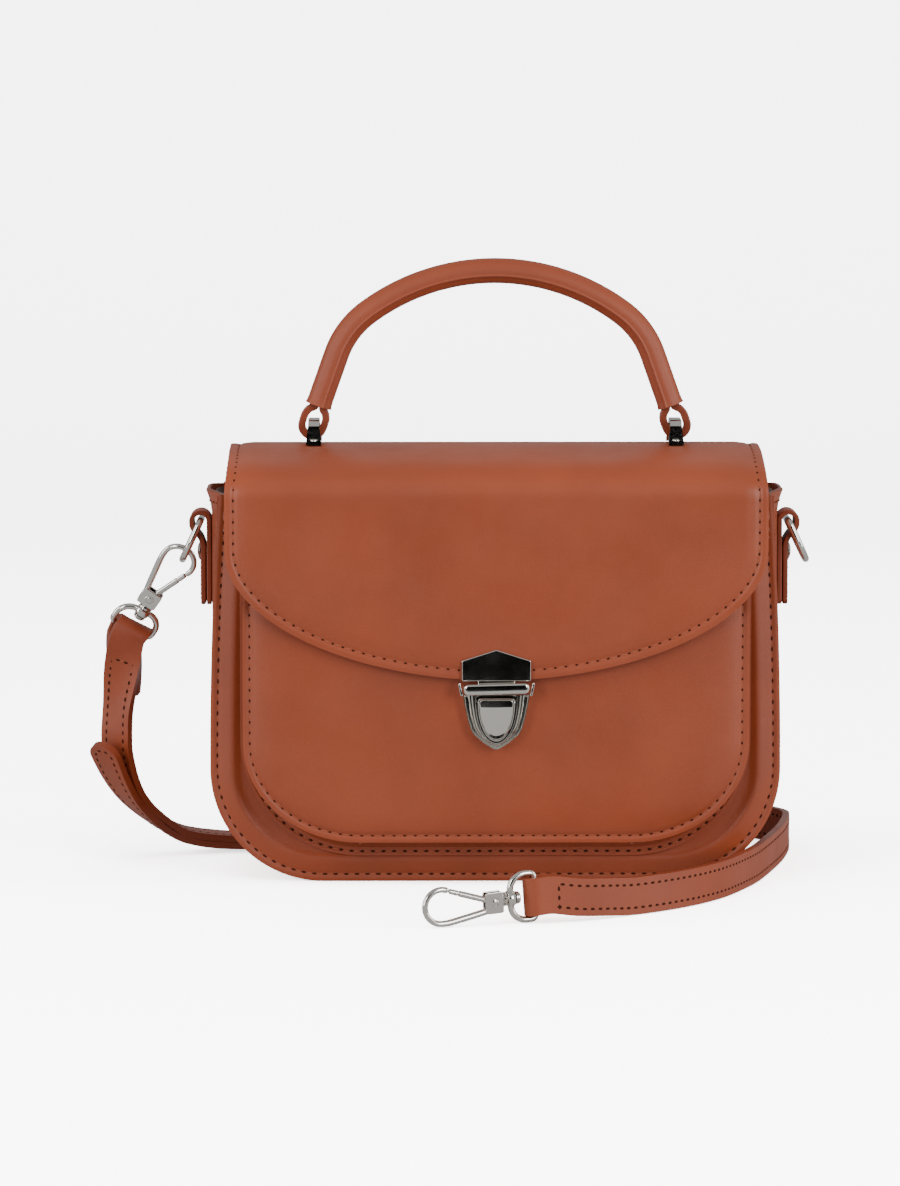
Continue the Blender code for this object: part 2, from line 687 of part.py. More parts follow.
def lock_flap_side(metal, hinge):
    """The plate with its tongue on the flap, and the clamp under the flap."""
    back = flap_front_y() - SEAT_GAP
    front = back - LOCK_PLATE_THICKNESS
    half = [(LOCK_HALF_WIDTH, LOCK_PLATE_BOTTOM), (LOCK_HALF_WIDTH, LOCK_PLATE_SHOULDER)]
    outline = mirrored(half[:1]) + [half[1], (0.0, LOCK_PLATE_PEAK), (-LOCK_HALF_WIDTH, LOCK_PLATE_SHOULDER)]
    made = plate("lock_plate", outline, back, front, metal)
    pivot = hinge_point()
    start = Vector((0.0, (back + front) / 2 - pivot.y, LOCK_PLATE_BOTTOM + SEAT_GAP - pivot.z))
    radius = start.length
    angle = 2 * pi - acos(start.y / radius)
    turn = LOCK_TONGUE_LENGTH / radius
    outer = arc((pivot.y, pivot.z), radius + LOCK_TONGUE_THICKNESS / 2, angle, turn, 2)
    inner = arc((pivot.y, pivot.z), radius - LOCK_TONGUE_THICKNESS / 2, angle, turn, 2)
    tongue = side_prism("lock_tongue_shape", outer + inner[::-1], -LOCK_TONGUE_HALF_WIDTH,
                        LOCK_TONGUE_HALF_WIDTH, metal)
    cut(made, tongue, "UNION")
    attach(made, hinge)
    clamp_back = lining_back_y() + SEAT_GAP
    half_width = LOCK_HALF_WIDTH - LOCK_WASHER_MARGIN
    low = LOCK_PLATE_BOTTOM + LOCK_WASHER_MARGIN
    clamp = [(-half_width, low), (half_width, low), (half_width, LOCK_PLATE_SHOULDER),
             (-half_width, LOCK_PLATE_SHOULDER)]
    washer = plate("lock_plate_washer", clamp, clamp_back + LOCK_WASHER_THICKNESS, clamp_back, metal)
    attach(washer, hinge)


def button_outline(half_width, top):
    """Straight sides and a round foot."""
    foot_centre = BUTTON_FOOT + BUTTON_HALF_WIDTH
    foot = arc((0.0, foot_centre), half_width, pi, pi, 10)
    return foot + [(half_width, top), (-half_width, top)]


def lock_pocket_side(metal):
    """Housing, bar, push button, spring and clamp of the press lock."""
    back = pocket_face() - SEAT_GAP
    front = back - LOCK_BODY_DEPTH
    shield = [(-LOCK_BODY_HALF_WIDTH, LOCK_BODY_TOP), (-LOCK_BODY_WAIST_HALF, LOCK_BODY_WAIST),
              (0.0, LOCK_BODY_TIP), (LOCK_BODY_WAIST_HALF, LOCK_BODY_WAIST),
              (LOCK_BODY_HALF_WIDTH, LOCK_BODY_TOP)]
    middle = (LOCK_BODY_TOP + LOCK_BODY_TIP) / 2
    shrink = 1.0 - LOCK_BODY_BEVEL / LOCK_BODY_HALF_WIDTH
    rings = []
    for y, scale in ((back, 1.0), (front + LOCK_BODY_BEVEL, 1.0), (front, shrink)):
        rings.append([Vector((x * scale, y, middle + (z - middle) * scale)) for x, z in shield])
    body = loft("lock_body", rings, metal)
    floor = back - LOCK_FLOOR
    recess = button_outline(BUTTON_HALF_WIDTH + RUNNING_GAP, BUTTON_TOP + RUNNING_GAP)
    cut(body, plate("lock_recess_cutter", recess, floor, front - LOCK_FLOOR, metal))
    face = front - BUTTON_PROUD
    button = plate("lock_button", button_outline(BUTTON_HALF_WIDTH, BUTTON_TOP), face + BUTTON_THICKNESS,
                   face, metal)
    set_origin(button, Vector((0.0, face, middle)))
    spring_start = floor - SEAT_GAP - SPRING_WIRE / 2
    spring_end = face + BUTTON_THICKNESS + SEAT_GAP + SPRING_WIRE / 2
    path = []
    steps = 10 * SPRING_TURNS
    for step in range(steps + 1):
        angle = 2 * pi * SPRING_TURNS * step / steps
        path.append(Vector((SPRING_RADIUS * cos(angle), spring_start + (spring_end - spring_start) * step / steps,
                            middle + SPRING_RADIUS * sin(angle))))
    tube("lock_spring", path, SPRING_WIRE / 2, metal, sides=5)
    low = BRIDGE_BAR_BOTTOM
    top = BRIDGE_BAR_TOP
    bar_front = flap_front_y() - BRIDGE_BAR_STAND_OFF
    bar_back = bar_front + BRIDGE_BAR_THICKNESS
    bevel = BRIDGE_BAR_CHAMFER
    section = [(bar_front, low), (bar_back, low), (bar_back, top - bevel), (bar_back - bevel, top),
               (bar_front + bevel, top), (bar_front, top - bevel)]
    bridge = side_prism("lock_bridge", section, -BRIDGE_BAR_HALF_WIDTH, BRIDGE_BAR_HALF_WIDTH, metal)
    for side in (-1, 1):
        inner = side * (BRIDGE_BAR_HALF_WIDTH - BRIDGE_BAR_EAR)
        outer = side * (BRIDGE_BAR_HALF_WIDTH - BRIDGE_BAR_SHY)
        ear = [(bar_back - bevel, low + BRIDGE_BAR_SHY), (back, low + BRIDGE_BAR_SHY),
               (back, top - bevel), (bar_back - bevel, top - bevel)]
        cut(bridge, side_prism("lock_ear_shape", ear, inner, outer, metal), "UNION")
    clamp_front = pocket_face() + POCKET_FRONT_THICKNESS + SEAT_GAP
    half = LOCK_CLAMP_HALF_WIDTH
    low = LOCK_BODY_TIP + LOCK_CLAMP_MARGIN
    clamp = [(-half, low), (half, low), (half, LOCK_BODY_TOP), (-half, LOCK_BODY_TOP)]
    plate("lock_backplate", clamp, clamp_front + LOCK_CLAMP_THICKNESS, clamp_front, metal)


def bar_point(side):
    """Middle of the bar of one handle bridge."""
    return Vector((side * HANDLE_BAR_X, HANDLE_Y, flap_apex_z() + HANDLE_BAR_RISE))


def handle_half(start):
    """Right half of the handle's line in X and Z, from its top to a distance short of the bar."""
    turn = HANDLE_TOP_TURN
    whole = HANDLE_TOP_TURN + HANDLE_SHOULDER_TURN
    end_x = HANDLE_TOP_RADIUS * sin(turn) + HANDLE_SHOULDER_RADIUS * (sin(whole) - sin(turn))
    leg = (HANDLE_BAR_X - end_x) / cos(whole)
    drop = HANDLE_TOP_RADIUS * (1 - cos(turn)) + HANDLE_SHOULDER_RADIUS * (cos(turn) - cos(whole))
    top = bar_point(1).z + drop + leg * sin(whole)
    line = arc((0.0, top - HANDLE_TOP_RADIUS), HANDLE_TOP_RADIUS, pi / 2, -turn, 5)
    centre_x = line[-1][0] - HANDLE_SHOULDER_RADIUS * sin(turn)
    centre_z = line[-1][1] - HANDLE_SHOULDER_RADIUS * cos(turn)
    line += arc((centre_x, centre_z), HANDLE_SHOULDER_RADIUS, pi / 2 - turn, -HANDLE_SHOULDER_TURN, 4)[1:]
    line.append((HANDLE_BAR_X - start * cos(whole), bar_point(1).z + start * sin(whole)))
    return line


def handle_rings(start, radius, sides):
    """Circles along the whole handle."""
    half = handle_half(start)
    line = [Vector((-x, HANDLE_Y, z)) for x, z in half[:0:-1]] + [Vector((x, HANDLE_Y, z)) for x, z in half]
    rings = []
    for index, point in enumerate(line):
        before = line[max(index - 1, 0)]
        after = line[min(index + 1, len(line) - 1)]
        run = (after - before).normalized()
        across = Vector((0.0, 1.0, 0.0))
        other = run.cross(across)
        rings.append([point + (across * cos(2 * pi * k / sides) + other * sin(2 * pi * k / sides)) * radius
                      for k in range(sides)])
    return rings


def handle_loop(name, side, look):
    """A leather loop that hangs round one bridge bar and is tucked into the end of the handle."""
    whole = HANDLE_TOP_TURN + HANDLE_SHOULDER_TURN
    origin = bar_point(side)
    up = Vector((-side * cos(whole), 0.0, sin(whole)))
    out = Vector((sin(whole), 0.0, side * cos(whole)))
    leg = (LOOP_THICKNESS + SEAT_GAP) / 2
    neck = HANDLE_TUBE_START - SEAT_GAP
    half = [(leg, LOOP_TUCK), (leg, neck), (LOOP_HALF_WIDTH, neck - LOOP_THICKNESS), (LOOP_HALF_WIDTH, 0.0)]
    low = LOOP_HALF_WIDTH - LOOP_DROP
    bottom = arc((0.0, low), LOOP_HALF_WIDTH, 0.0, -pi, 8)
    line = half[:-1] + bottom + [(-a, b) for a, b in half[-2::-1]]
    widths = [LOOP_TUCK_WIDTH if b >= neck else LOOP_WIDTH for a, b in line]
    across = Vector((0.0, 1.0, 0.0))
    points = [(origin + out * a + up * b, across) for a, b in line]
    return ribbon(name, points, widths, [LOOP_THICKNESS] * len(line), look)


def handle_bridge(name, side, metal):
    """A metal staple that stands on the flap and carries one end of the handle."""
    origin = bar_point(side)
    foot_z = flap_apex_z() + SEAT_GAP + BRIDGE_FOOT_THICKNESS / 2
    leg_y = BRIDGE_INNER_WIDTH / 2 + BRIDGE_LEG_THICKNESS / 2
    corner = BRIDGE_LEG_WIDTH / 4
    wide = BRIDGE_BAR_WIDTH
    tall = BRIDGE_BAR_HEIGHT
    half = [(leg_y + BRIDGE_FOOT_LENGTH, foot_z, BRIDGE_LEG_WIDTH, BRIDGE_FOOT_THICKNESS),
            (leg_y, foot_z, BRIDGE_LEG_WIDTH, BRIDGE_LEG_THICKNESS),
            (leg_y, origin.z - corner, BRIDGE_LEG_WIDTH, BRIDGE_LEG_THICKNESS),
            (leg_y - corner / 2, origin.z - corner / 4, (BRIDGE_LEG_WIDTH + wide) / 2, tall),
            (leg_y - 2 * corner, origin.z, wide, tall)]
    line = half + [(-y, z, width, thickness) for y, z, width, thickness in half[::-1]]
    across = Vector((1.0, 0.0, 0.0))
    points = [(Vector((origin.x, HANDLE_Y + y, z)), across) for y, z, width, thickness in line]
    return ribbon(name, points, [row[2] for row in line], [row[3] for row in line], metal)


def bridge_washer(name, side, metal):
    """The clamp plate of one bridge, under the flap."""
    depth = FLAP_THICKNESS + SEAT_GAP + FLAP_LINING_THICKNESS
    top = flap_apex_z() - depth - 2 * SEAT_GAP
    low = top - BRIDGE_WASHER_THICKNESS
    half = BRIDGE_LEG_WIDTH / 2
    outline = [(side * HANDLE_BAR_X - half, low), (side * HANDLE_BAR_X + half, low),
               (side * HANDLE_BAR_X + half, top), (side * HANDLE_BAR_X - half, top)]
    reach = BRIDGE_INNER_WIDTH / 2 + BRIDGE_LEG_THICKNESS
    return plate(name, outline, HANDLE_Y + reach, HANDLE_Y - reach, metal)


def handle(leather, filling, metal, hinge):
    """The padded handle on its two bridges."""
    swing = empty("handle_swing_axis", Vector((0.0, HANDLE_Y, bar_point(1).z)), hinge)
    outer = handle_rings(HANDLE_TUBE_START, HANDLE_TUBE_RADIUS, HANDLE_SIDES)
    inner = handle_rings(HANDLE_TUBE_START, HANDLE_BORE_RADIUS, HANDLE_SIDES)
    cover = loft("handle_cover", outer + inner[::-1], leather, closed=True)
    core = loft("handle_core", handle_rings(HANDLE_CORE_START, HANDLE_BORE_RADIUS - SEAT_GAP, 8), filling)
    attach(cover, swing)
    attach(core, swing)
    for word, side in (("left", -1), ("right", 1)):
        attach(handle_loop("handle_loop_" + word, side, leather), swing)
        attach(handle_bridge("handle_bridge_" + word, side, metal), hinge)
        attach(bridge_washer("bridge_washer_" + word, side, metal), hinge)


def tab_fold_z():
    """Height of the fold of the side tabs."""
    return BODY_HEIGHT - TAB_FOLD_DROP


def tab_rivet_z():
    """Height of the rivets in the side tabs."""
    return tab_fold_z() - TAB_RIVET_DROP


def fold_centre(side):
    """Middle of the fold of one side tab, where its ring turns."""
    face = BODY_HALF_WIDTH - GUSSET_INSET + SEAT_GAP
    return Vector((side * (face + TAB_THICKNESS / 2 + TAB_FOLD_RADIUS), 0.0, tab_fold_z()))


def side_tab(name, side, leather):
    """A strip folded over its ring, both layers held by one rivet."""
    centre = fold_centre(1)
    inner = centre.x - TAB_FOLD_RADIUS
    outer = inner + TAB_THICKNESS + SEAT_GAP
    taper = tab_fold_z() - TAB_TAPER_DROP
    bottom = tab_fold_z() - TAB_LENGTH
    line = [(inner, bottom), (inner, taper)]
    line += arc((centre.x, centre.z), TAB_FOLD_RADIUS, pi, -pi, 8)
    line += [(outer, taper), (outer, bottom)]
    points = [(Vector((side * x, 0.0, z)), Vector((0.0, 1.0, 0.0))) for x, z in line]
    count = len(line)
    made = ribbon(name, points, [2 * TAB_HALF_WIDTH] * count, [TAB_THICKNESS] * count, leather)
    start = Vector((side * (inner - TAB_THICKNESS), 0.0, tab_rivet_z()))
    end = Vector((side * (outer + TAB_THICKNESS), 0.0, tab_rivet_z()))
    cut(made, cylinder("tab_hole_cutter", start, end, RIVET_POST_RADIUS + SEAT_GAP, leather))
    return outer + TAB_THICKNESS / 2


def tab_rivet(name, side, face, metal):
    """A domed rivet through the tab and the band."""
    radius = RIVET_HEAD_RADIUS
    height = RIVET_HEAD_HEIGHT
    length = face + SEAT_GAP - (BODY_HALF_WIDTH - GUSSET_INSET - GUSSET_THICKNESS)
    profile = [(RIVET_POST_RADIUS, -length), (RIVET_POST_RADIUS, 0.0), (radius, 0.0), (radius, height * 0.25),
               (radius * 0.85, height * 0.6), (radius * 0.5, height * 0.9), (radius * 0.15, height)]
    origin = Vector((side * (face + SEAT_GAP), 0.0, tab_rivet_z()))
    turned(name, profile, origin, Vector((side, 0.0, 0.0)), metal, sides=16)


def ring_run(side):
    """The direction in which a D-ring hangs from its tab."""
    lean = LEFT_RING_LEAN if side < 0 else RIGHT_RING_LEAN
    return Vector((side * sin(lean), 0.0, -cos(lean)))


def side_ring(name, side, metal):
    """A D-ring that turns in the fold of its tab."""
    half = RING_HALF_LENGTH
    corner = RING_CORNER
    bow_centre = RING_DEPTH - half
    line = arc((half - corner, corner), corner, -pi / 2, pi / 2, 3)
    line += arc((0.0, bow_centre), half, 0.0, pi, 12)
    line += arc((corner - half, corner), corner, pi, pi / 2, 3)
    origin = fold_centre(side)
    down = ring_run(side)
    across = Vector((0.0, 1.0, 0.0))
    path = [origin + across * a + down * b for a, b in line]
    made = tube(name, path, RING_WIRE, metal, RING_SIDES, closed=True, up=across.cross(down))
    set_origin(made, origin)


def sides(leather, metal):
    """Tab, rivet and D-ring on both sides."""
    for word, side in (("left", -1), ("right", 1)):
        face = side_tab("side_tab_" + word, side, leather)
        tab_rivet("tab_rivet_" + word, side, face, metal)
        side_ring("side_ring_" + word, side, metal)


def square_frame(origin, run, side):
    """A frame with its first axis along a run and its second as near as can be to a side."""
    first = run.normalized()
    second = (side - first * side.dot(first)).normalized()
    third = first.cross(second)
    turned_axes = Matrix((first, second, third)).transposed().to_4x4()
    return Matrix.Translation(origin) @ turned_axes


def hook_pin_point(frame):
    """Middle of the gate's pin."""
    return frame @ Vector((HOOK_PIN_U, HOOK_PIN_V, 0.0))


def hook_body(name, frame, metal):
    """The cast body: two cheeks with a slot, a straight spine and the open loop."""
    block = [(HOOK_PLATE_START, HOOK_PLATE_LOW), (HOOK_PLATE_END, HOOK_PLATE_LOW),
             (HOOK_PLATE_END, HOOK_PLATE_HIGH), (HOOK_PLATE_START, HOOK_PLATE_HIGH)]
    made = prism(name, block, -HOOK_HALF_THICKNESS, HOOK_HALF_THICKNESS, metal, frame)
    line = [(HOOK_SPINE_U, HOOK_SPINE_V)]
    line += arc((HOOK_LOOP_CENTRE, 0.0), HOOK_LOOP_RADIUS, HOOK_LOOP_START, HOOK_LOOP_TURN, 14)
    across = frame.to_3x3() @ Vector((0.0, 0.0, 1.0))
    points = [(frame @ Vector((u, v, 0.0)), across) for u, v in line]
    count = len(line)
    loop = ribbon(name + "_loop_shape", points, [HOOK_LOOP_WIDTH] * count, [2 * HOOK_WIRE_HALF] * count, metal)
    cut(made, loop, "UNION")
    slot_low = HOOK_PIN_V - GATE_EYE_RADIUS - RUNNING_GAP
    slot_start = HOOK_PIN_U - GATE_EYE_RADIUS - RUNNING_GAP
    slot = [(slot_start, slot_low), (HOOK_PLATE_END + SEAT_GAP, slot_low),
            (HOOK_PLATE_END + SEAT_GAP, HOOK_PLATE_HIGH + SEAT_GAP), (slot_start, HOOK_PLATE_HIGH + SEAT_GAP)]
    cut(made, prism(name + "_slot_cutter", slot, -HOOK_SLOT_HALF, HOOK_SLOT_HALF, metal, frame))
    reach = frame.to_3x3() @ Vector((0.0, 0.0, HOOK_PIN_LENGTH))
    middle = hook_pin_point(frame)
    cut(made, cylinder(name + "_pin_cutter", middle - reach, middle + reach, HOOK_PIN_RADIUS + SEAT_GAP, metal))
    return made


def hook_gate(name, frame, metal):
    """The sprung gate with its eye round the pin."""
    def polar(radius, angle):
        return (HOOK_PIN_U + radius * cos(angle), HOOK_PIN_V + radius * sin(angle))

    spread = GATE_HALF_WIDTH / GATE_REACH
    outline = [polar(GATE_REACH, GATE_ANGLE + spread * k) for k in (-1, 0, 1)]
    outline += [polar(GATE_EYE_RADIUS, GATE_ANGLE + radians(60 + 30 * k)) for k in range(9)]
    made = prism(name, outline, -GATE_HALF_THICKNESS, GATE_HALF_THICKNESS, metal, frame)
    reach = frame.to_3x3() @ Vector((0.0, 0.0, HOOK_PIN_LENGTH))
    middle = hook_pin_point(frame)
    cut(made, cylinder(name + "_eye_cutter", middle - reach, middle + reach, HOOK_PIN_RADIUS + SEAT_GAP, metal))
    set_origin(made, middle)
    return made


def hook_pin(name, frame, metal):
    """The gate's pin, through both cheeks."""
    half = frame.to_3x3() @ Vector((0.0, 0.0, HOOK_PIN_LENGTH / 2))
    middle = hook_pin_point(frame)
    return cylinder(name, middle - half, middle + half, HOOK_PIN_RADIUS, metal)


def swivel_ring(name, frame, metal):
    """The wire ring that the strap is sewn round, with a drilled boss for the rivet."""
    half = SWIVEL_HALF_WIDTH
    corner = SWIVEL_CORNER
    shoulder = SWIVEL_SHOULDER
    line = arc((-shoulder, half - shoulder), shoulder, 0.0, pi / 2, 6)
    line += arc((corner - SWIVEL_DEPTH, half - corner), corner, pi / 2, pi / 2, 3)
    line += arc((corner - SWIVEL_DEPTH, corner - half), corner, pi, pi / 2, 3)
    line += arc((-shoulder, shoulder - half), shoulder, 3 * pi / 2, pi / 2, 6)
    path = [frame @ Vector((u, v, 0.0)) for u, v in line]
    across = frame.to_3x3() @ Vector((0.0, 0.0, 1.0))
    made = tube(name, path, SWIVEL_WIRE, metal, 8, closed=True, up=across)
    low = frame @ Vector((-SWIVEL_BOSS_HALF, 0.0, 0.0))
    high = frame @ Vector((SWIVEL_BOSS_HALF, 0.0, 0.0))
    cut(made, cylinder(name + "_boss_shape", low, high, SWIVEL_BOSS_RADIUS, metal, 14), "UNION")
    low = frame @ Vector((-SWIVEL_DEPTH / 2, 0.0, 0.0))
    high = frame @ Vector((SWIVEL_DEPTH / 2, 0.0, 0.0))
    cut(made, cylinder(name + "_hole_cutter", low, high, SWIVEL_POST_RADIUS + SEAT_GAP, metal))
    return made


def swivel_rivet(name, frame, metal):
    """The headed post on which the hook turns in its ring."""
    seat = -SWIVEL_BOSS_HALF - SEAT_GAP
    head = seat - SWIVEL_HEAD_LENGTH
    profile = [(SWIVEL_HEAD_RADIUS * 0.65, head), (SWIVEL_HEAD_RADIUS, head * 0.85 + seat * 0.15),
               (SWIVEL_HEAD_RADIUS, seat), (SWIVEL_POST_RADIUS, seat),
               (SWIVEL_POST_RADIUS, HOOK_PLATE_START - SEAT_GAP)]
    run = frame.to_3x3() @ Vector((1.0, 0.0, 0.0))
    return turned(name, profile, frame.to_translation(), run, metal, sides=12)


def left_boss():
    """Centre of the left hook's swivel, found from the ring that it hangs on."""
    ring_end = fold_centre(-1) + ring_run(-1) * RING_DEPTH
    reach = HOOK_LOOP_CENTRE + HOOK_LOOP_RADIUS - HOOK_WIRE_HALF - RING_WIRE - HANG_GAP
    return ring_end + LEFT_HOOK_SHIFT - LEFT_HOOK_RUN * reach


def right_run():
    """The right hook's direction on the floor, from its swivel to its tip."""
    level = cos(RIGHT_HOOK_DIP)
    return Vector((cos(RIGHT_HOOK_HEADING) * level, sin(RIGHT_HOOK_HEADING) * level, -sin(RIGHT_HOOK_DIP)))


def snap_hooks(metal):
    """Both snap hooks; each turns on the rivet in its own ring."""
    left = square_frame(left_boss(), LEFT_HOOK_RUN, LEFT_HOOK_GATE_SIDE)
    left_ring = square_frame(left_boss(), LEFT_HOOK_RUN, LEFT_STRAP_ACROSS)
    right_boss = RIGHT_BAR + right_run() * SWIVEL_DEPTH
    right = square_frame(right_boss, right_run(), Vector((0.0, 0.0, 1.0)))
    right_swing = empty("right_ring_axis", RIGHT_BAR)
    for word, frame, ring_frame in (("left", left, left_ring), ("right", right, right)):
        ring = swivel_ring(word + "_hook_ring", ring_frame, metal)
        swivel = empty(word + "_swivel_axis", frame.to_translation())
        if word == "right":
            attach(ring, right_swing)
            attach(swivel, right_swing)
        attach(hook_body(word + "_hook_body", frame, metal), swivel)
        attach(hook_gate(word + "_hook_gate", frame, metal), swivel)
        attach(hook_pin(word + "_hook_pin", frame, metal), swivel)
        attach(swivel_rivet(word + "_hook_rivet", frame, metal), swivel)
    return left_ring, right


def smooth_line(stations, step):
    """Points and directions across, at about one step, on a smooth curve through stations."""
    line = []
    last = len(stations) - 1
    for index in range(last):
        knots = [stations[min(max(index + shift, 0), last)] for shift in (-1, 0, 1, 2)]
        pieces = max(1, round((knots[2][0] - knots[1][0]).length / step))
        for piece in range(pieces):
            line.append(tuple(blend_knots([knot[part] for knot in knots], piece / pieces) for part in (0, 1)))
    line.append(stations[-1])
    return [(point, across.normalized()) for point, across in line]


def blend_knots(knots, part):
    """A point on the smooth curve between the two middle knots of four."""
    before, start, end, after = knots
    slope_in = (end - before) / 2
    slope_out = (after - start) / 2
    square = part * part
    cube = square * part
    return (start * (2 * cube - 3 * square + 1) + slope_in * (cube - 2 * square + part)
            + end * (3 * square - 2 * cube) + slope_out * (cube - square))


def beside(line, index, distance, side):
    """The point at a distance square to the face of a strap."""
    point, across = line[index]
    before = line[max(index - 1, 0)][0]
    after = line[min(index + 1, len(line) - 1)][0]
    return point + (after - before).normalized().cross(across).normalized() * distance * side


def folded(line, radius, side, back_length):
    """A strap line with its first end turned round a bar and sewn back on itself."""
    closed_gap = STRAP_THICKNESS + SEAT_GAP
    back = []
    travelled = 0.0
    for index, (point, across) in enumerate(line):
        if index:
            travelled += (point - line[index - 1][0]).length
        if travelled > back_length:
            break
        part = min(travelled / FOLD_CLOSE_LENGTH, 1.0)
        gap = 2 * radius + (closed_gap - 2 * radius) * part * part * (3 - 2 * part)
        back.append((beside(line, index, gap, side), across))
    start, across = line[0]
    run = (line[1][0] - start).normalized()
    normal = run.cross(across).normalized() * side
    bar = start + normal * radius
    turn = [(bar + normal * a * radius + run * b * radius, across)
            for a, b in arc((0.0, 0.0), 1.0, 0.0, -pi, 6)[1:-1]]
    return back[::-1] + turn + line


def strap_short_line(left_ring):
    """The short strap, from the left hook down to the floor and behind the bag to the buckle."""
    bar = left_ring @ Vector((-SWIVEL_DEPTH, 0.0, 0.0))
    across = left_ring.to_3x3() @ Vector((0.0, 1.0, 0.0))
    run = (LEFT_STRAP_RUN - across * LEFT_STRAP_RUN.dot(across)).normalized()
    start = bar + run.cross(across).normalized() * FOLD_RADIUS
    stations = [(start, across), (start + run * HOOK_LEAD, across)]
    for x, y, z, turn in STRAP_SHORT_ROUTE:
        stations.append((Vector((x, y, z)), Vector((cos(radians(turn)), -sin(radians(turn)), 0.0))))
    flat = Vector((0.0, -1.0, 0.0))
    heel = Vector((BUCKLE_HEEL_X, STRAP_BACK_Y, BUCKLE_HEEL_Z - BUCKLE_FOLD_RADIUS))
    stations += [(heel - Vector((HEEL_LEAD, 0.0, 0.0)), flat), (heel, flat)]
    return smooth_line(stations, STRAP_STEP)


def strap_floor_z():
    """Centre height of a strap that stands on its edge."""
    return STRAP_FLOOR_GAP + STRAP_WIDTH / 2


def strap_long_line(short, right_frame):
    """The long strap, from its tongue through the buckle and round the bag to the right hook."""
    tongue = []
    for index, (point, across) in enumerate(short[:-1]):
        if point.z < TONGUE_TIP_Z:
            flare = max(0.0, (point.z - TONGUE_FLARE_Z) / (TONGUE_TIP_Z - TONGUE_FLARE_Z))
            tongue.append((beside(short, index, TONGUE_TOP_RAISE + TONGUE_FLARE * flare * flare, 1.0), across))
    stations = tongue[::2]
    flat = Vector((0.0, -1.0, 0.0))
    for x, z in STRAP_BUCKLE_ROUTE:
        stations.append((Vector((x, STRAP_BACK_Y, z)), flat))
    for x, turn in STRAP_TWIST_ROUTE:
        angle = radians(turn)
        low = STRAP_FLOOR_GAP + sin(angle) * STRAP_WIDTH / 2 + cos(angle) * STRAP_THICKNESS / 2
        stations.append((Vector((x, STRAP_BACK_Y, low)), Vector((0.0, -cos(angle), sin(angle)))))
    upright = Vector((0.0, 0.0, 1.0))
    for x, y in STRAP_EDGE_ROUTE:
        stations.append((Vector((x, y, strap_floor_z())), upright))
    across = right_frame.to_3x3() @ Vector((0.0, 1.0, 0.0))
    run = right_frame.to_3x3() @ Vector((-1.0, 0.0, 0.0))
    start = RIGHT_BAR + across.cross(run).normalized() * FOLD_RADIUS * RIGHT_FOLD_SIDE
    for x, y, z in STRAP_LIFT_ROUTE:
        stations.append((Vector((x, y, z)), upright))
    stations += [(start + run * HOOK_LEAD, across), (start, across)]
    return smooth_line(stations, STRAP_STEP)


def straps(leather, left_ring, right_frame):
    """Both straps, with the holes in the tongue and the slot for the prong."""
    short = strap_short_line(left_ring)
    short_folded = folded(short, FOLD_RADIUS, -1.0, FOLD_BACK_LENGTH)
    both = folded(short_folded[::-1], BUCKLE_FOLD_RADIUS, 1.0, HEEL_FOLD_LENGTH)[::-1]
    count = len(both)
    made = ribbon("strap_short", both, [STRAP_WIDTH] * count, [STRAP_THICKNESS] * count, leather)
    reach = BUCKLE_FOLD_RADIUS + STRAP_THICKNESS
    left = BUCKLE_HEEL_X - BUCKLE_FOLD_RADIUS
    right = BUCKLE_HEEL_X + reach
    slot = [(left, BUCKLE_HEEL_Z - reach), (right, BUCKLE_HEEL_Z - reach),
            (right, BUCKLE_HEEL_Z + reach), (left, BUCKLE_HEEL_Z + reach)]
    back = STRAP_BACK_Y + PRONG_SLOT_HALF
    cut(made, plate("prong_slot_cutter", slot, back, back - 2 * PRONG_SLOT_HALF, leather))
    line = strap_long_line(short, right_frame)
    line = folded(line[::-1], FOLD_RADIUS, RIGHT_FOLD_SIDE, FOLD_BACK_LENGTH)[::-1]
    count = len(line)
    widths = [STRAP_WIDTH * TONGUE_TIP_PART] + [STRAP_WIDTH] * (count - 1)
    made = ribbon("strap_long", line, widths, [STRAP_THICKNESS] * count, leather)
    for hole in range(1, HOLE_COUNT):
        middle = Vector((BUCKLE_HEEL_X - HOLE_PITCH * hole + HOLE_FIRST, STRAP_BACK_Y, BUCKLE_FRONT_Z))
        lift = Vector((0.0, 0.0, STRAP_THICKNESS))
        cut(made, cylinder("tongue_hole_cutter", middle - lift, middle + lift, HOLE_RADIUS, leather, 10))
    start, end = prong_ends()
    middle = start.lerp(end, 0.5)
    run = (end - start) * PRONG_HOLE_PART
    radius = PRONG_RADIUS + RUNNING_GAP
    cut(made, cylinder("tongue_hole_cutter", middle - run, middle + run, radius, leather, 10))


def prong_ends():
    """Where the straight part of the prong leaves its eye, and its tip under the front bar."""
    start = Vector((BUCKLE_HEEL_X + PRONG_EYE_RADIUS * cos(PRONG_EYE_END), STRAP_BACK_Y,
                    BUCKLE_HEEL_Z + PRONG_EYE_RADIUS * sin(PRONG_EYE_END)))
    drop = (BUCKLE_WIRE + RUNNING_GAP + PRONG_RADIUS) * PRONG_SLANT
    under = Vector((BUCKLE_FRONT_X, STRAP_BACK_Y, BUCKLE_FRONT_Z - drop))
    return start, start + (under - start) * PRONG_REACH


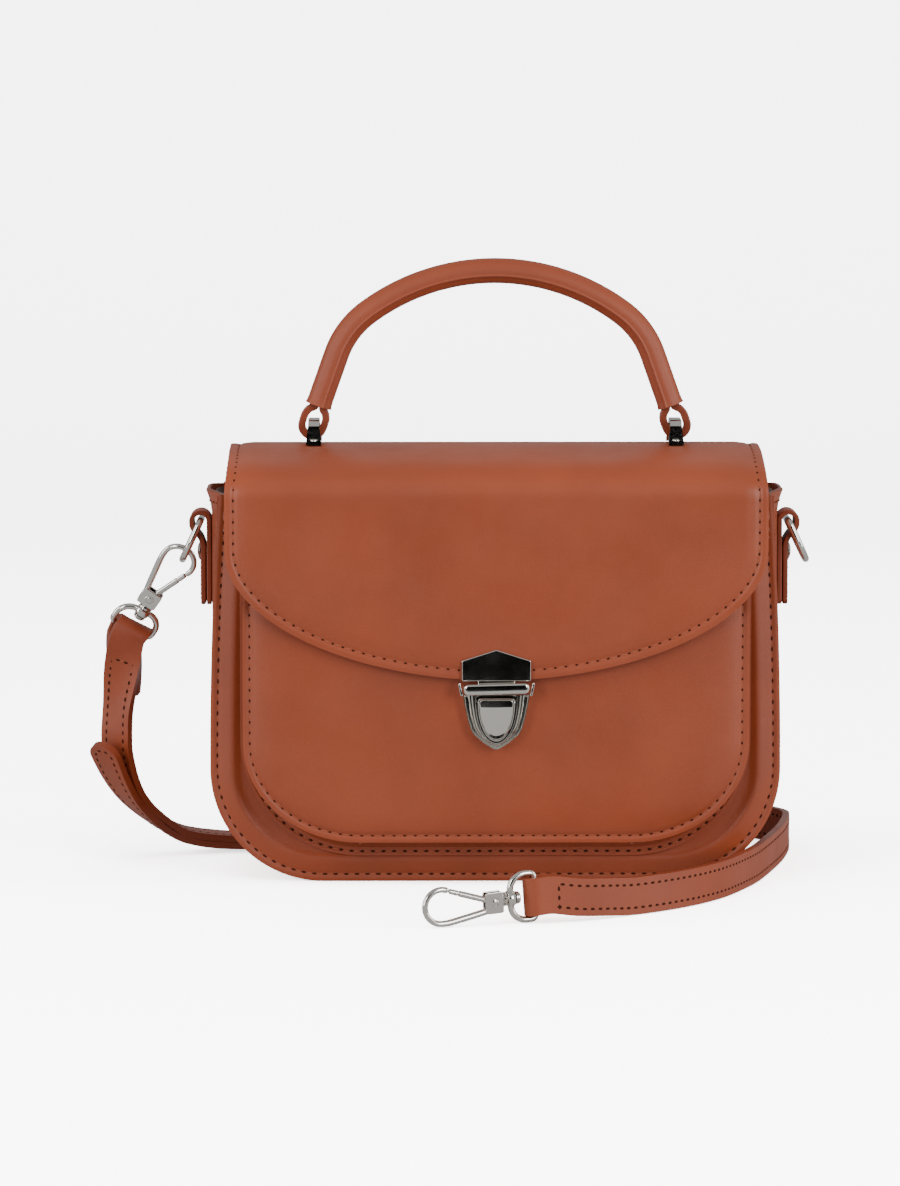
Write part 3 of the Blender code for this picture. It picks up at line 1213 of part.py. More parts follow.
def buckle(metal, leather):
    """Frame, prong and keeper behind the bag."""
    half = BUCKLE_HALF_WIDTH
    corner = BUCKLE_CORNER
    heel = Vector((BUCKLE_HEEL_X, STRAP_BACK_Y, BUCKLE_HEEL_Z))
    front = Vector((BUCKLE_FRONT_X, STRAP_BACK_Y, BUCKLE_FRONT_Z))
    length = (front - heel).length
    frame = square_frame(heel, front - heel, Vector((0.0, 1.0, 0.0)))
    line = arc((length - corner, half - corner), corner, 0.0, pi / 2, 3)
    line += arc((corner, half - corner), corner, pi / 2, pi / 2, 3)
    line += arc((corner, corner - half), corner, pi, pi / 2, 3)
    line += arc((length - corner, corner - half), corner, 3 * pi / 2, pi / 2, 3)
    path = [frame @ Vector((u, v, 0.0)) for u, v in line]
    tube("strap_buckle", path, BUCKLE_WIRE, metal, 8, closed=True, up=frame.to_3x3() @ Vector((0.0, 0.0, 1.0)))
    start, end = prong_ends()
    eye = [heel + Vector((a, 0.0, b))
           for a, b in arc((0.0, 0.0), PRONG_EYE_RADIUS, PRONG_EYE_END - PRONG_EYE_TURN, PRONG_EYE_TURN, 9)]
    tube("strap_buckle_prong", eye + [end], PRONG_RADIUS, metal, 6, up=Vector((0.0, 1.0, 0.0)))
    play = KEEPER_PLAY
    low = BUCKLE_HEEL_Z - BUCKLE_FOLD_RADIUS - TONGUE_TOP_RAISE - STRAP_THICKNESS / 2 - play
    high = BUCKLE_HEEL_Z - BUCKLE_FOLD_RADIUS + STRAP_THICKNESS / 2 + play
    reach = STRAP_WIDTH / 2 + play
    thick = KEEPER_THICKNESS
    inner = [(STRAP_BACK_Y - reach, low), (STRAP_BACK_Y + reach, low), (STRAP_BACK_Y + reach, high),
             (STRAP_BACK_Y - reach, high)]
    outer = [(STRAP_BACK_Y - reach - thick, low - thick), (STRAP_BACK_Y + reach + thick, low - thick),
             (STRAP_BACK_Y + reach + thick, high + thick), (STRAP_BACK_Y - reach - thick, high + thick)]
    left = KEEPER_X - KEEPER_LENGTH / 2
    right = KEEPER_X + KEEPER_LENGTH / 2
    rings = [[Vector((left, *a)), Vector((right, *a)), Vector((right, *b)), Vector((left, *b))]
             for a, b in zip(outer, inner)]
    loft("strap_keeper", rings, leather, closed=True)


def main():
    """Model every piece of the bag."""
    clear_scene()
    leather = material("tan leather", (0.330, 0.077, 0.032), 0.34)
    cloth = material("lining leather", (0.180, 0.070, 0.035), 0.70)
    fibre = material("base board fibre", (0.120, 0.090, 0.060), 0.85)
    body_shell(leather)
    base_board(fibre)
    body_lining(cloth)
    pocket_band(leather)
    pocket_panels(leather, cloth)
    hinge = empty("flap_hinge_axis", hinge_point())
    flap(leather, cloth, hinge)
    metal = material("polished metal", (0.780, 0.760, 0.720), 0.16, 1.0)
    filling = material("handle filling", (0.450, 0.400, 0.320), 0.90)
    lock_flap_side(metal, hinge)
    lock_pocket_side(metal)
    handle(leather, filling, metal, hinge)
    sides(leather, metal)
    left_ring, right_frame = snap_hooks(metal)
    straps(leather, left_ring, right_frame)
    buckle(metal, leather)


main()
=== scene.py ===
"""Crossbody bag: the finished leather, thread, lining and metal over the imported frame.

Sizes in the code are in millimetres, in the frame's own axes: +Z up, the front faces -Y.
"""
from bisect import bisect_right
from math import atan2, copysign, cos, exp, hypot, pi, radians, sin, sqrt

import bpy
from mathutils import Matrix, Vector
from mathutils.kdtree import KDTree


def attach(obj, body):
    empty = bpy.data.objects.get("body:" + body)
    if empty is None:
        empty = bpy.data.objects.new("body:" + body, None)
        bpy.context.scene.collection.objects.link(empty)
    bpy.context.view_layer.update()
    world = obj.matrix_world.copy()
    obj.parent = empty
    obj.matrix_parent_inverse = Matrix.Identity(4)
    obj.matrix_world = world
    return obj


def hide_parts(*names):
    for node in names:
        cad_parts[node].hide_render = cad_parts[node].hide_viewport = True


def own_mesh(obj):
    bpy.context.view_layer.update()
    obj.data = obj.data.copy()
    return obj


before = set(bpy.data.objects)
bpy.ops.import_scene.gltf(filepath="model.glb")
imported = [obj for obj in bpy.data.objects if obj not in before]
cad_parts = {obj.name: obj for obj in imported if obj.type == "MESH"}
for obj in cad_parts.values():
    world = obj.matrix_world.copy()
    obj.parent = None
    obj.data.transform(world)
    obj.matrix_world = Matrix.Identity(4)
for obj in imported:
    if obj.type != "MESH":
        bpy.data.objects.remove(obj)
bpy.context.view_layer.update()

bl_info = {
    "name": "Crossbody bag",
    "version": (1, 0, 0),
    "blender": (4, 5, 0),
    "location": "3D View > Sidebar > Bag",
    "description": "Builds the leather, thread, lining and metal of a flap bag over its packed frame",
    "category": "Object",
}

MM = 0.001
SIDES = (("left", -1), ("right", 1))

# Sewing and welding
WELD = 0.000002
FACE_OUT = (bpy.ops.mesh.normals_make_consistent, {"inside": False})
# The needle holes are dark spots of painted shade, lifted this far over the leather
HOLE_LIFT = 0.07
THREAD_SINK = 0.05

# Body
BODY_HALF_DEPTH = 31.0
BODY_HALF_WIDTH = 110.0
BODY_TOP = 150.0
BODY_CORNER = (66.0, 44.0)
SIDE_BOW = 1500.0
WALL = 2.4
BAND = 2.0
BAND_INSET = 0.4
BAND_HALF_DEPTH = 28.3
HEM_FLARE = 2.4
HEM_HEIGHT = 10.6
CORNER_PART = 0.45

# Front pocket
POCKET_CORNER = (52.0, 56.0)
POCKET_TOP = 142.0
POCKET_HALF_WIDTH = 97.0
POCKET_BOTTOM = 17.2
POCKET_FLANGE_Y = -32.9
POCKET_FLANGE_HALF = 98.3
POCKET_FLANGE_BOTTOM = 10.3
POCKET_WALL_HALF = 94.5
POCKET_RIM_Y = -42.3
POCKET_BAND = 1.6
POCKET_EDGE_Y = -45.3
POCKET_RISE = 2.1
POCKET_FRONT = 1.4

# Flap
FLAP_HALF_WIDTH = 103.6
FLAP_HINGE_Y = 33.3
FLAP_APEX_Y = -5.0
FLAP_RISE = 17.8
FLAP_FRONT_Y = -52.0
FLAP_POWER = 2.3
FLAP_EDGE_TOP = 130.5
FLAP_EDGE_DROP = 50.0
FLAP_EDGE_POWER = 1.9
FLAP_OUTER = 1.9
FLAP_LINING = 1.1

# Handle
HANDLE_Y = -6.0
HANDLE_BAR = (70.0, 176.5)
HANDLE_TURNS = ((82.5, 36.5), (34.0, 34.0))
HANDLE_RADIUS = 5.2
HANDLE_START = 6.2

# Strap
STRAP_WIDTH = 14.0
STRAP_THICK = 2.7
STRAP_SEAM = 4.3
TIP_LENGTH = 7.0
TIP_SPOTS = (0.0, 0.04, 0.15, 0.4, 0.8, 1.3, 2.0, 2.8, 3.8, 5.0, 6.2)
FOLDED_GAP = 3.1
FOLD_TAPER = 11.0


def at(x, y, z):
    return Vector((x, y, z))


# ---------------------------------------------------------------- settings

def length_setting(name, description, default, low, high):
    return bpy.props.FloatProperty(name=name, description=description, default=default, min=low, max=high,
                                   unit="LENGTH")


def colour_setting(name, description, default):
    return bpy.props.FloatVectorProperty(name=name, description=description, subtype="COLOR", size=3,
                                         default=default, min=0.0, max=1.0)


class BagSizes(bpy.types.PropertyGroup):
    """Sizes of the sewing and the edges."""
    stitch_pitch: length_setting("Stitch pitch", "Distance between the needle holes of the body seams",
                                 0.0041, 0.002, 0.008)
    strap_pitch: length_setting("Strap stitch pitch", "Distance between the needle holes of the strap seams",
                                0.0034, 0.002, 0.008)
    thread_width: length_setting("Thread width", "Width of the sewing thread", 0.0007, 0.0003, 0.0015)
    hole_width: length_setting("Needle hole width", "Width of a needle hole", 0.0010, 0.0003, 0.0015)
    edge_round: length_setting("Edge rounding", "Rounding of the painted leather edges", 0.0006, 0.0001, 0.001)
    seam_depth: length_setting("Seam depth", "How far the thread pulls the leather in", 0.00045, 0.0, 0.001)


class BagColours(bpy.types.PropertyGroup):
    """Colours of the leather, thread, lining and metal."""
    leather: colour_setting("Leather", "Main colour of the smooth leather", (0.305, 0.057, 0.0180))
    strap: colour_setting("Strap leather", "Colour of the strap's smooth leather", (0.295, 0.056, 0.0185))
    edge: colour_setting("Edge paint", "Colour of the painted leather edges", (0.22, 0.040, 0.0135))
    thread: colour_setting("Thread", "Colour of the sewing thread", (0.40, 0.095, 0.036))
    lining: colour_setting("Lining", "Colour of the lining", (0.17, 0.072, 0.040))
    metal: colour_setting("Metal", "Colour of the polished metal", (0.80, 0.775, 0.72))


def sizes():
    return bpy.context.scene.bag_sizes


def colours():
    return bpy.context.scene.bag_colours


# ---------------------------------------------------------------- effects and finishes

def add_node(tree, kind, inputs, **settings):
    """A shader node; its inputs take sockets or values."""
    node = tree.nodes.new("ShaderNode" + kind)
    for key, value in settings.items():
        setattr(node, key, value)
    feed(tree, node, inputs)
    return node


def feed(tree, node, inputs):
    """Link or set the named inputs of a node."""
    for label, value in inputs.items():
        if isinstance(value, bpy.types.NodeSocket):
            tree.links.new(value, node.inputs[label])
        else:
            node.inputs[label].default_value = value


def object_place(tree):
    return add_node(tree, "TexCoord", {}).outputs["Object"]


def times(tree, first, second):
    return add_node(tree, "Math", {0: first, 1: second}, operation="MULTIPLY").outputs[0]


def plus(tree, first, second):
    return add_node(tree, "Math", {0: first, 1: second}, operation="ADD").outputs[0]


def noise_node(tree, scale, detail, source):
    """A noise texture's factor."""
    return add_node(tree, "TexNoise", {"Detail": detail, "Vector": source, "Scale": scale}).outputs["Fac"]


def two_tone(tree, factor, dark, light):
    """A colour between two tones."""
    return add_node(tree, "Mix", {6: (*dark, 1.0), 7: (*light, 1.0), 0: factor}, data_type="RGBA").outputs[2]


def spread(tree, source, low, high, out_low, out_high):
    """A value moved from one range to another."""
    return add_node(tree, "MapRange", {"From Min": low, "From Max": high, "To Min": out_low, "To Max": out_high,
                                       "Value": source}).outputs["Result"]


def bumped(tree, height, strength, distance):
    """A normal from a height."""
    return add_node(tree, "Bump", {"Strength": strength, "Distance": distance, "Height": height}).outputs["Normal"]


def effect(name, inputs, outputs, build):
    """The named node group; build(group, given inputs, object coordinates) makes its outputs once."""
    group = bpy.data.node_groups.get(name)
    if group:
        return group
    group = bpy.data.node_groups.new(name, "ShaderNodeTree")
    for label, value in inputs.items():
        socket = group.interface.new_socket(label, in_out="INPUT", socket_type="NodeSocketFloat")
        socket.default_value = value
    for label in outputs:
        group.interface.new_socket(label, in_out="OUTPUT", socket_type="NodeSocketFloat")
    given, end = group.nodes.new("NodeGroupInput").outputs, group.nodes.new("NodeGroupOutput")
    feed(group, end, dict(zip(outputs, build(group, given, object_place(group)))))
    return group


def leather_grain():
    """Fine pores and soft creases of smooth leather: a height and a tone."""
    def build(group, given, place):
        pores = add_node(group, "TexVoronoi", {"Smoothness": 0.6, "Vector": place, "Scale": given["Pore size"]},
                         feature="SMOOTH_F1")
        fine = noise_node(group, times(group, given["Pore size"], 1.7), 2.0, place)
        soft = noise_node(group, 160.0, 2.0, place)
        cloud = noise_node(group, given["Cloud size"], 3.0, place)
        height = plus(group, times(group, pores.outputs["Distance"], 0.55), times(group, fine, 0.30))
        return (plus(group, height, times(group, soft, 0.9)),
                plus(group, times(group, cloud, 0.7), times(group, fine, 0.3)))
    return effect("Leather grain", {"Pore size": 1500.0, "Cloud size": 28.0}, ("Height", "Tone"), build)


def handling_marks():
    """Faint smears and hairlines from use, as a roughness mask and a height."""
    def build(group, given, place):
        smear = noise_node(group, given["Smear size"], 4.0, place)
        stretch = add_node(group, "Mapping", {"Scale": (300.0, 300.0, 2200.0), "Rotation": (0.3, 0.9, 0.2),
                                              "Vector": place})
        lines = times(group, noise_node(group, 1.0, 1.0, stretch.outputs["Vector"]), given["Hairlines"])
        return plus(group, smear, times(group, lines, 0.4)), lines
    return effect("Handling marks", {"Smear size": 60.0, "Hairlines": 0.3}, ("Mask", "Height"), build)


def weave():
    """A plain weave of crossing threads on object coordinates."""
    def build(group, given, place):
        rows = []
        for turn in (0.7, -0.7):
            lean = add_node(group, "Mapping", {"Rotation": (turn, turn, turn), "Vector": place})
            rows.append(add_node(group, "TexWave", {"Distortion": 0.4, "Vector": lean.outputs["Vector"],
                                                    "Scale": given["Threads"]}).outputs["Fac"])
        cross = times(group, rows[0], rows[1])
        return cross, plus(group, times(group, cross, 0.6), noise_node(group, 35.0, 3.0, place))
    return effect("Lining weave", {"Threads": 900.0}, ("Height", "Tone"), build)


def finish(name, dress):
    """The named material; dress(tree) gives the inputs of its Principled shader once."""
    made = bpy.data.materials.get(name)
    if made:
        return made
    made = bpy.data.materials.new(name)
    made.use_nodes = True
    tree = made.node_tree
    feed(tree, tree.nodes["Principled BSDF"], dress(tree))
    return made


def shaded(colour, factor):
    return [min(1.0, part * factor) for part in colour]


def leather_finish(name, colour, roughness=0.44, pore=1500.0, relief=0.00007, variation=0.10):
    """Smooth dyed leather with fine pores and a soft clear finish."""
    def dress(tree):
        grain = add_node(tree, "Group", {"Pore size": pore, "Cloud size": 28.0}, node_tree=leather_grain()).outputs
        marks = add_node(tree, "Group", {"Smear size": 45.0, "Hairlines": 0.2}, node_tree=handling_marks()).outputs
        tone = spread(tree, grain["Tone"], 0.35, 0.65, 0.0, 1.0)
        return {"Base Color": two_tone(tree, tone, shaded(colour, 1 - variation), shaded(colour, 1 + variation)),
                "Roughness": spread(tree, marks["Mask"], 0.35, 0.75, roughness - 0.05, roughness + 0.07),
                "Specular IOR Level": 0.5, "Coat Weight": 0.06, "Coat Roughness": 0.30,
                "Normal": bumped(tree, grain["Height"], 0.55, relief)}
    return finish(name, dress)


def edge_finish():
    """Painted leather edge: smoother and a little darker than the face."""
    return leather_finish("Painted edge", tuple(colours().edge), 0.36, 900.0, 0.00003, 0.14)


def tan_leather():
    return leather_finish("Tan leather", tuple(colours().leather))


def strap_leather():
    return leather_finish("Strap leather", tuple(colours().strap), 0.48, 1300.0)


def thread_finish():
    """Twisted sewing thread."""
    def dress(tree):
        twist = add_node(tree, "TexWave", {"Scale": 900.0, "Distortion": 1.5,
                                           "Vector": object_place(tree)}).outputs["Fac"]
        colour = tuple(colours().thread)
        return {"Base Color": two_tone(tree, twist, shaded(colour, 0.7), colour), "Roughness": 0.6,
                "Normal": bumped(tree, twist, 0.6, 0.0001)}
    return finish("Sewing thread", dress)


def hole_shade_finish():
    """The dark inside of a needle hole, as painted shade on a small disc over the leather."""
    def dress(tree):
        fleck = noise_node(tree, 900.0, 2.0, object_place(tree))
        return {"Base Color": two_tone(tree, fleck, (0.030, 0.008, 0.005), (0.070, 0.018, 0.009)),
                "Roughness": 0.85, "Specular IOR Level": 0.1}
    return finish("Needle hole", dress)


def lining_finish():
    """Soft woven lining."""
    def dress(tree):
        threads = add_node(tree, "Group", {"Threads": 700.0}, node_tree=weave()).outputs
        colour = tuple(colours().lining)
        tone = spread(tree, threads["Tone"], 0.3, 1.0, 0.0, 1.0)
        return {"Base Color": two_tone(tree, tone, shaded(colour, 0.75), shaded(colour, 1.25)),
                "Roughness": 0.8, "Sheen Weight": 0.25, "Normal": bumped(tree, threads["Height"], 0.5, 0.0001)}
    return finish("Woven lining", dress)


def metal_finish():
    """Polished plated metal with faint handling marks."""
    def dress(tree):
        marks = add_node(tree, "Group", {"Smear size": 120.0, "Hairlines": 0.5},
                         node_tree=handling_marks()).outputs
        colour = tuple(colours().metal)
        return {"Base Color": two_tone(tree, marks["Mask"], shaded(colour, 0.94), colour),
                "Roughness": spread(tree, marks["Mask"], 0.3, 0.9, 0.07, 0.15), "Metallic": 1.0,
                "Normal": bumped(tree, marks["Height"], 0.05, 0.00002)}
    return finish("Polished metal", dress)


def board_finish():
    """Pressed fibre board."""
    def dress(tree):
        fleck = noise_node(tree, 500.0, 5.0, object_place(tree))
        return {"Base Color": two_tone(tree, fleck, (0.07, 0.05, 0.035), (0.20, 0.15, 0.10)), "Roughness": 0.9,
                "Normal": bumped(tree, fleck, 0.4, 0.0002)}
    return finish("Fibre board", dress)


def cord_finish():
    """Twisted cotton cord."""
    def dress(tree):
        threads = add_node(tree, "Group", {"Threads": 420.0}, node_tree=weave()).outputs
        return {"Base Color": two_tone(tree, threads["Tone"], (0.36, 0.31, 0.24), (0.52, 0.47, 0.38)),
                "Roughness": 0.85, "Normal": bumped(tree, threads["Height"], 0.7, 0.0002)}
    return finish("Cotton cord", dress)


# ---------------------------------------------------------------- modelling

def deselect():
    """Leave edit mode and deselect everything."""
    active = bpy.context.view_layer.objects.active
    if active and active.mode != "OBJECT":
        bpy.ops.object.mode_set(mode="OBJECT")
    bpy.ops.object.select_all(action="DESELECT")


def choose(piece):
    """Make one piece the only selected and active one."""
    deselect()
    piece.hide_set(False)
    piece.select_set(True)
    bpy.context.view_layer.objects.active = piece


def new_piece(name, add, **values):
    """A primitive with its name."""
    deselect()
    add(location=(0, 0, 0), **values)
    piece = bpy.context.active_object
    piece.name = name
    piece.data.name = name
    return piece


def edited(piece, *steps):
    """Run mesh operators, each on all of a piece."""
    choose(piece)
    bpy.ops.object.mode_set(mode="EDIT")
    for step, values in steps:
        bpy.ops.mesh.select_all(action="SELECT")
        step(**values)
    bpy.ops.object.mode_set(mode="OBJECT")


def shaped_grid(name, columns, rows, place):
    """A grid whose points go to place(part across, part along), in millimetres."""
    piece = new_piece(name, bpy.ops.mesh.primitive_grid_add, x_subdivisions=columns, y_subdivisions=rows, size=1.0)
    for vertex in piece.data.vertices:
        across, along = (min(max(value + 0.5, 0.0), 1.0) for value in vertex.co[:2])
        vertex.co = place(across, along) * MM
    return piece


def merged(piece, recalculate=False):
    """Weld points that lie on each other."""
    edited(piece, (bpy.ops.mesh.remove_doubles, {"threshold": WELD}),
           (bpy.ops.mesh.dissolve_degenerate, {"threshold": WELD}), *([FACE_OUT] if recalculate else []))


def applied(piece, kind, **values):
    """Add one modifier with its values and apply it."""
    choose(piece)
    step = piece.modifiers.new(kind, kind)
    for key, value in values.items():
        setattr(step, key, value)
    bpy.ops.object.modifier_apply(modifier=step.name)


def smoothed(piece, angle=40.0):
    choose(piece)
    bpy.ops.object.shade_smooth_by_angle(angle=radians(angle))


def coated(piece, *finishes):
    """Give a piece its materials, in slot order."""
    piece.data.materials.clear()
    for look in finishes:
        piece.data.materials.append(look)


def weighted(piece):
    """Keep flat faces flat next to their rounded edges."""
    applied(piece, "WEIGHTED_NORMAL", mode="FACE_AREA", weight=100, keep_sharp=True)


def thickened(piece, thickness, finishes, edge=None, offset=-1.0):
    """Turn a sheet into a closed layer with rounded, painted edges."""
    coated(piece, *finishes)
    applied(piece, "SOLIDIFY", thickness=thickness * MM, offset=offset, use_rim=True, use_even_offset=False,
            material_offset_rim=1 if len(finishes) > 1 else 0)
    applied(piece, "BEVEL", width=sizes().edge_round if edge is None else edge * MM, segments=3,
            limit_method="ANGLE", angle_limit=radians(50.0), use_clamp_overlap=True, harden_normals=False)
    smoothed(piece, 60.0)
    weighted(piece)


def settle(piece, body, slot, *nodes):
    """Let a piece ride on a body and stand for the named nodes."""
    if nodes:
        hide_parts(*nodes)
    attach(piece, body)
    return piece


def slab(name, outline, back, front, bevel, look, segments=3):
    """A flat piece cut to an outline in X and Z, pushed out from back to front."""
    piece = new_piece(name, bpy.ops.mesh.primitive_circle_add, vertices=len(outline), radius=1.0, fill_type="NGON")
    for vertex, (x, z) in zip(piece.data.vertices, outline):
        vertex.co = at(x, back, z) * MM
    push = {"TRANSFORM_OT_translate": {"value": (0, (front - back) * MM, 0)}}
    edited(piece, (bpy.ops.mesh.extrude_region_move, push), FACE_OUT)
    coated(piece, look)
    applied(piece, "BEVEL", width=bevel * MM, segments=segments, limit_method="ANGLE", angle_limit=radians(25.0),
            use_clamp_overlap=True)
    smoothed(piece, 30.0)
    weighted(piece)
    return piece


# ---------------------------------------------------------------- lines

def running(points):
    """Distance from the start of a line to each of its points."""
    lengths = [0.0]
    for before, after in zip(points, points[1:]):
        lengths.append(lengths[-1] + (after - before).length)
    return lengths


def spot_on(lengths, distance):
    """The stretch of a line that a distance falls on, and the part along it."""
    index = min(max(bisect_right(lengths, distance) - 1, 0), len(lengths) - 2)
    span = lengths[index + 1] - lengths[index]
    part = (distance - lengths[index]) / span if span > 1e-9 else 0.0
    return index, min(max(part, 0.0), 1.0)


def point_at(points, lengths, distance):
    """The point at a distance along a line whose running lengths are given."""
    index, part = spot_on(lengths, distance)
    return points[index].lerp(points[index + 1], part)


def spaced(points, pitch):
    """Points at an even distance along a line."""
    lengths = running(points)
    last = max(1, round(lengths[-1] / pitch))
    return [point_at(points, lengths, lengths[-1] * index / last) for index in range(last + 1)]


def heading(points, index):
    """Direction of a line at one of its points."""
    return (points[min(index + 1, len(points) - 1)] - points[max(index - 1, 0)]).normalized()


def arc(centre, radius, start, turn, steps):
    """Points on an arc, with angles in degrees."""
    return [(centre[0] + radius * cos(radians(start + turn * k / steps)),
             centre[1] + radius * sin(radians(start + turn * k / steps))) for k in range(steps + 1)]


def bow_in(rise, radius):
    """How far a bowed side comes in at a height above its widest place."""
    return radius - sqrt(radius ** 2 - rise ** 2)


def smooth_step(value, low, high):
    """A soft rise from 0 at low to 1 at high."""
    part = min(max((value - low) / (high - low), 0.0), 1.0)
    return part * part * (3 - 2 * part)


def groove(distance, middle, width=0.8):
    """How far a seam pulls the leather in at a distance from its row."""
    return sizes().seam_depth / MM * exp(-((distance - middle) / width) ** 2)


class Outline:
    """A rounded panel: a flat foot, elliptical corners and sides that may bow."""

    def __init__(self, half_width, bottom, corner, top, bow=0.0):
        self.half_width = half_width
        self.bottom = bottom
        self.corner_x, self.corner_z = corner
        self.top = top
        self.bow = bow

    def at(self, part):
        """Half width and height at a part of the way up, with close rows in the corners."""
        if part < CORNER_PART:
            turn = part / CORNER_PART * pi / 2
            return (self.corner_x + (self.half_width - self.corner_x) * sin(turn),
                    self.bottom + (self.corner_z - self.bottom) * (1 - cos(turn)))
        z = self.corner_z + (self.top - self.corner_z) * (part - CORNER_PART) / (1 - CORNER_PART)
        return self.side(z), z

    def side(self, z):
        return self.half_width - (bow_in(z - self.corner_z, self.bow) if self.bow else 0.0)

    def line(self, steps=60):
        """Points from the left top round the foot to the right top."""
        half = [self.at(1.0 - k / steps) for k in range(steps + 1)]
        foot = [(2 * self.corner_x * k / 12 - self.corner_x, self.bottom) for k in range(1, 12)]
        return [(-x, z) for x, z in half] + foot + half[::-1]


def moved_in(line, distance):
    """A line in a plane moved to its left by a distance."""
    result = []
    last = len(line) - 1
    for index, (x, z) in enumerate(line):
        (x1, z1), (x2, z2) = line[max(index - 1, 0)], line[min(index + 1, last)]
        length = hypot(x2 - x1, z2 - z1)
        result.append((x - (z2 - z1) / length * distance, z + (x2 - x1) / length * distance))
    return result


def edge_finder(line):
    """A function that gives the distance of a point in a plane from a line."""
    points = spaced([at(a, 0, b) for a, b in line], 0.4)
    tree = KDTree(len(points))
    for index, point in enumerate(points):
        tree.insert(point, index)
    tree.balance()
    return lambda a, b: tree.find(at(a, 0, b))[2]


def panel(name, outline, face, columns=110, rows=84, facing=-1):
    """A sheet inside an outline; its face gives Y at X and Z, and it faces the front or the back."""
    def place(across, along):
        half, z = outline.at(along)
        side = 2 * across - 1
        x = -facing * half * side * (1.5 - 0.5 * side * side)
        return at(x, face(x, z), z)
    return shaped_grid(name, columns, rows, place)


def frames_along(points, up, closed=False):
    """Direction, across and normal at each point of a line, carried on without twist."""
    last = len(points) - 1
    result = []
    across = up
    for index in range(last + 1):
        run = heading(points, index)
        if closed and index in (0, last):
            run = (points[1] - points[last - 1]).normalized()
        across = (across - run * across.dot(run)).normalized()
        result.append((run, across, run.cross(across)))
    return result


def swept(name, points, section, sides, up, closed=False, capped=True):
    """A closed shape along a line; section(part along, turn) gives its radii across and along the normal."""
    axes = frames_along(points, up, closed)
    last = len(points) - 1
    ends = 0 if closed or not capped else 1
    columns = last + 2 * ends

    def place(along, around):
        index = round(along * columns) - ends
        if not 0 <= index <= last:
            return points[min(max(index, 0), last)]
        run, across, normal = axes[index]
        a, b = section(index / last, 2 * pi * around)
        return points[index] + across * a + normal * b

    piece = shaped_grid(name, columns, sides, place)
    merged(piece, recalculate=capped)
    smoothed(piece, 45.0)
    return piece


def wire(name, points, radius, look, up, closed=False, sides=14):
    """A round wire along a line."""
    width = radius if callable(radius) else lambda part: radius
    piece = swept(name, points, lambda part, turn: (width(part) * cos(turn), width(part) * sin(turn)), sides, up,
                  closed)
    coated(piece, look)
    return piece


def turned(name, profile, origin, axis, look, sides=28):
    """A lathe shape; the profile is (distance along the axis, radius) pairs."""
    axis = axis.normalized()
    across = axis.orthogonal().normalized()
    normal = axis.cross(across)
    last = len(profile) - 1

    def place(along, around):
        reach, radius = profile[round(along * last)]
        turn = 2 * pi * around
        return origin + axis * reach + (across * cos(turn) + normal * sin(turn)) * radius

    piece = shaped_grid(name, last, sides, place)
    merged(piece, recalculate=True)
    coated(piece, look)
    smoothed(piece, 35.0)
    return piece


def ribbon(name, line, width, rows=8):
    """A sheet along (point, across) pairs; width(distance, length) gives its half width."""
    points = [point for point, across in line]
    lengths = running(points)
    last = len(line) - 1
    axes = []
    for index, (point, across) in enumerate(line):
        run = heading(points, index)
        axes.append((across - run * across.dot(run)).normalized())

    def place(along, over):
        index = round(along * last)
        return points[index] + axes[index] * width(lengths[index], lengths[-1]) * (2 * over - 1)

    return shaped_grid(name, last, rows, place)


# ---------------------------------------------------------------- sewing

def stitch_shapes():
    """One stitch of thread and one needle hole's dark spot of painted shade, each modelled once."""
    made = []
    for name, rings in (("stitch_model", 5), ("hole_shade_model", 4)):
        ball = new_piece(name, bpy.ops.mesh.primitive_uv_sphere_add, segments=8, ring_count=rings, radius=0.5)
        edited(ball, (bpy.ops.transform.resize, {"value": (1.0, 1.0, 0.8)}))
        made.append(([v.co.copy() for v in ball.data.vertices], [tuple(p.vertices) for p in ball.data.polygons]))
        bpy.data.objects.remove(ball, do_unlink=True)
    return made


def stitches(name, stations, body, pitch=None, hole_length=1.2, thread_part=0.66):
    """A row of thread and needle holes, dark spots of painted shade, on (point, normal) stations along a seam."""
    points = [point for point, normal in stations]
    lengths = running(points)
    count = max(1, round(lengths[-1] * MM / (pitch or sizes().stitch_pitch)))
    step = lengths[-1] / count
    thread = sizes().thread_width / MM
    hole = sizes().hole_width / MM
    thread_shape, hole_shade_shape = stitch_shapes()
    vertices, faces, looks = [], [], []

    def add(shape, distance, lift, scale, look):
        index, part = spot_on(lengths, distance)
        normal = stations[index][1].lerp(stations[index + 1][1], part).normalized()
        middle = points[index].lerp(points[index + 1], part) + normal * lift
        run = (points[index + 1] - points[index]).normalized()
        run = (run - normal * run.dot(normal)).normalized()
        across = normal.cross(run)
        start = len(vertices)
        for co in shape[0]:
            vertices.append((middle + run * co.x * scale[0] + across * co.y * scale[1]
                             + normal * co.z * scale[2]) * MM)
        faces.extend([start + k for k in face] for face in shape[1])
        looks.extend([look] * len(shape[1]))

    for index in range(count + 1):
        # Needle holes: dark spots whose colour is painted shade, just over the leather
        add(hole_shade_shape, step * index, HOLE_LIFT, (hole * hole_length, hole, 0.3), 1)
        if index < count:
            add(thread_shape, step * (index + 0.5), -THREAD_SINK, (step * thread_part, thread, thread * 0.7), 0)
    data = bpy.data.meshes.new(name)
    data.from_pydata(vertices, [], faces)
    piece = bpy.data.objects.new(name, data)
    bpy.context.scene.collection.objects.link(piece)
    coated(piece, thread_finish(), hole_shade_finish())
    data.polygons.foreach_set("material_index", looks)
    data.update()
    data.shade_smooth()
    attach(piece, body)
    return piece


def on_face(line, face, facing=-1):
    """Stations of a seam on a panel's face, from its line in X and Z."""
    return [(at(x, face(x, z), z), at(0, facing, 0)) for x, z in line]


# ---------------------------------------------------------------- body

BODY = Outline(BODY_HALF_WIDTH, 0.0, BODY_CORNER, BODY_TOP, SIDE_BOW)
WALL_SEAM = 2.8


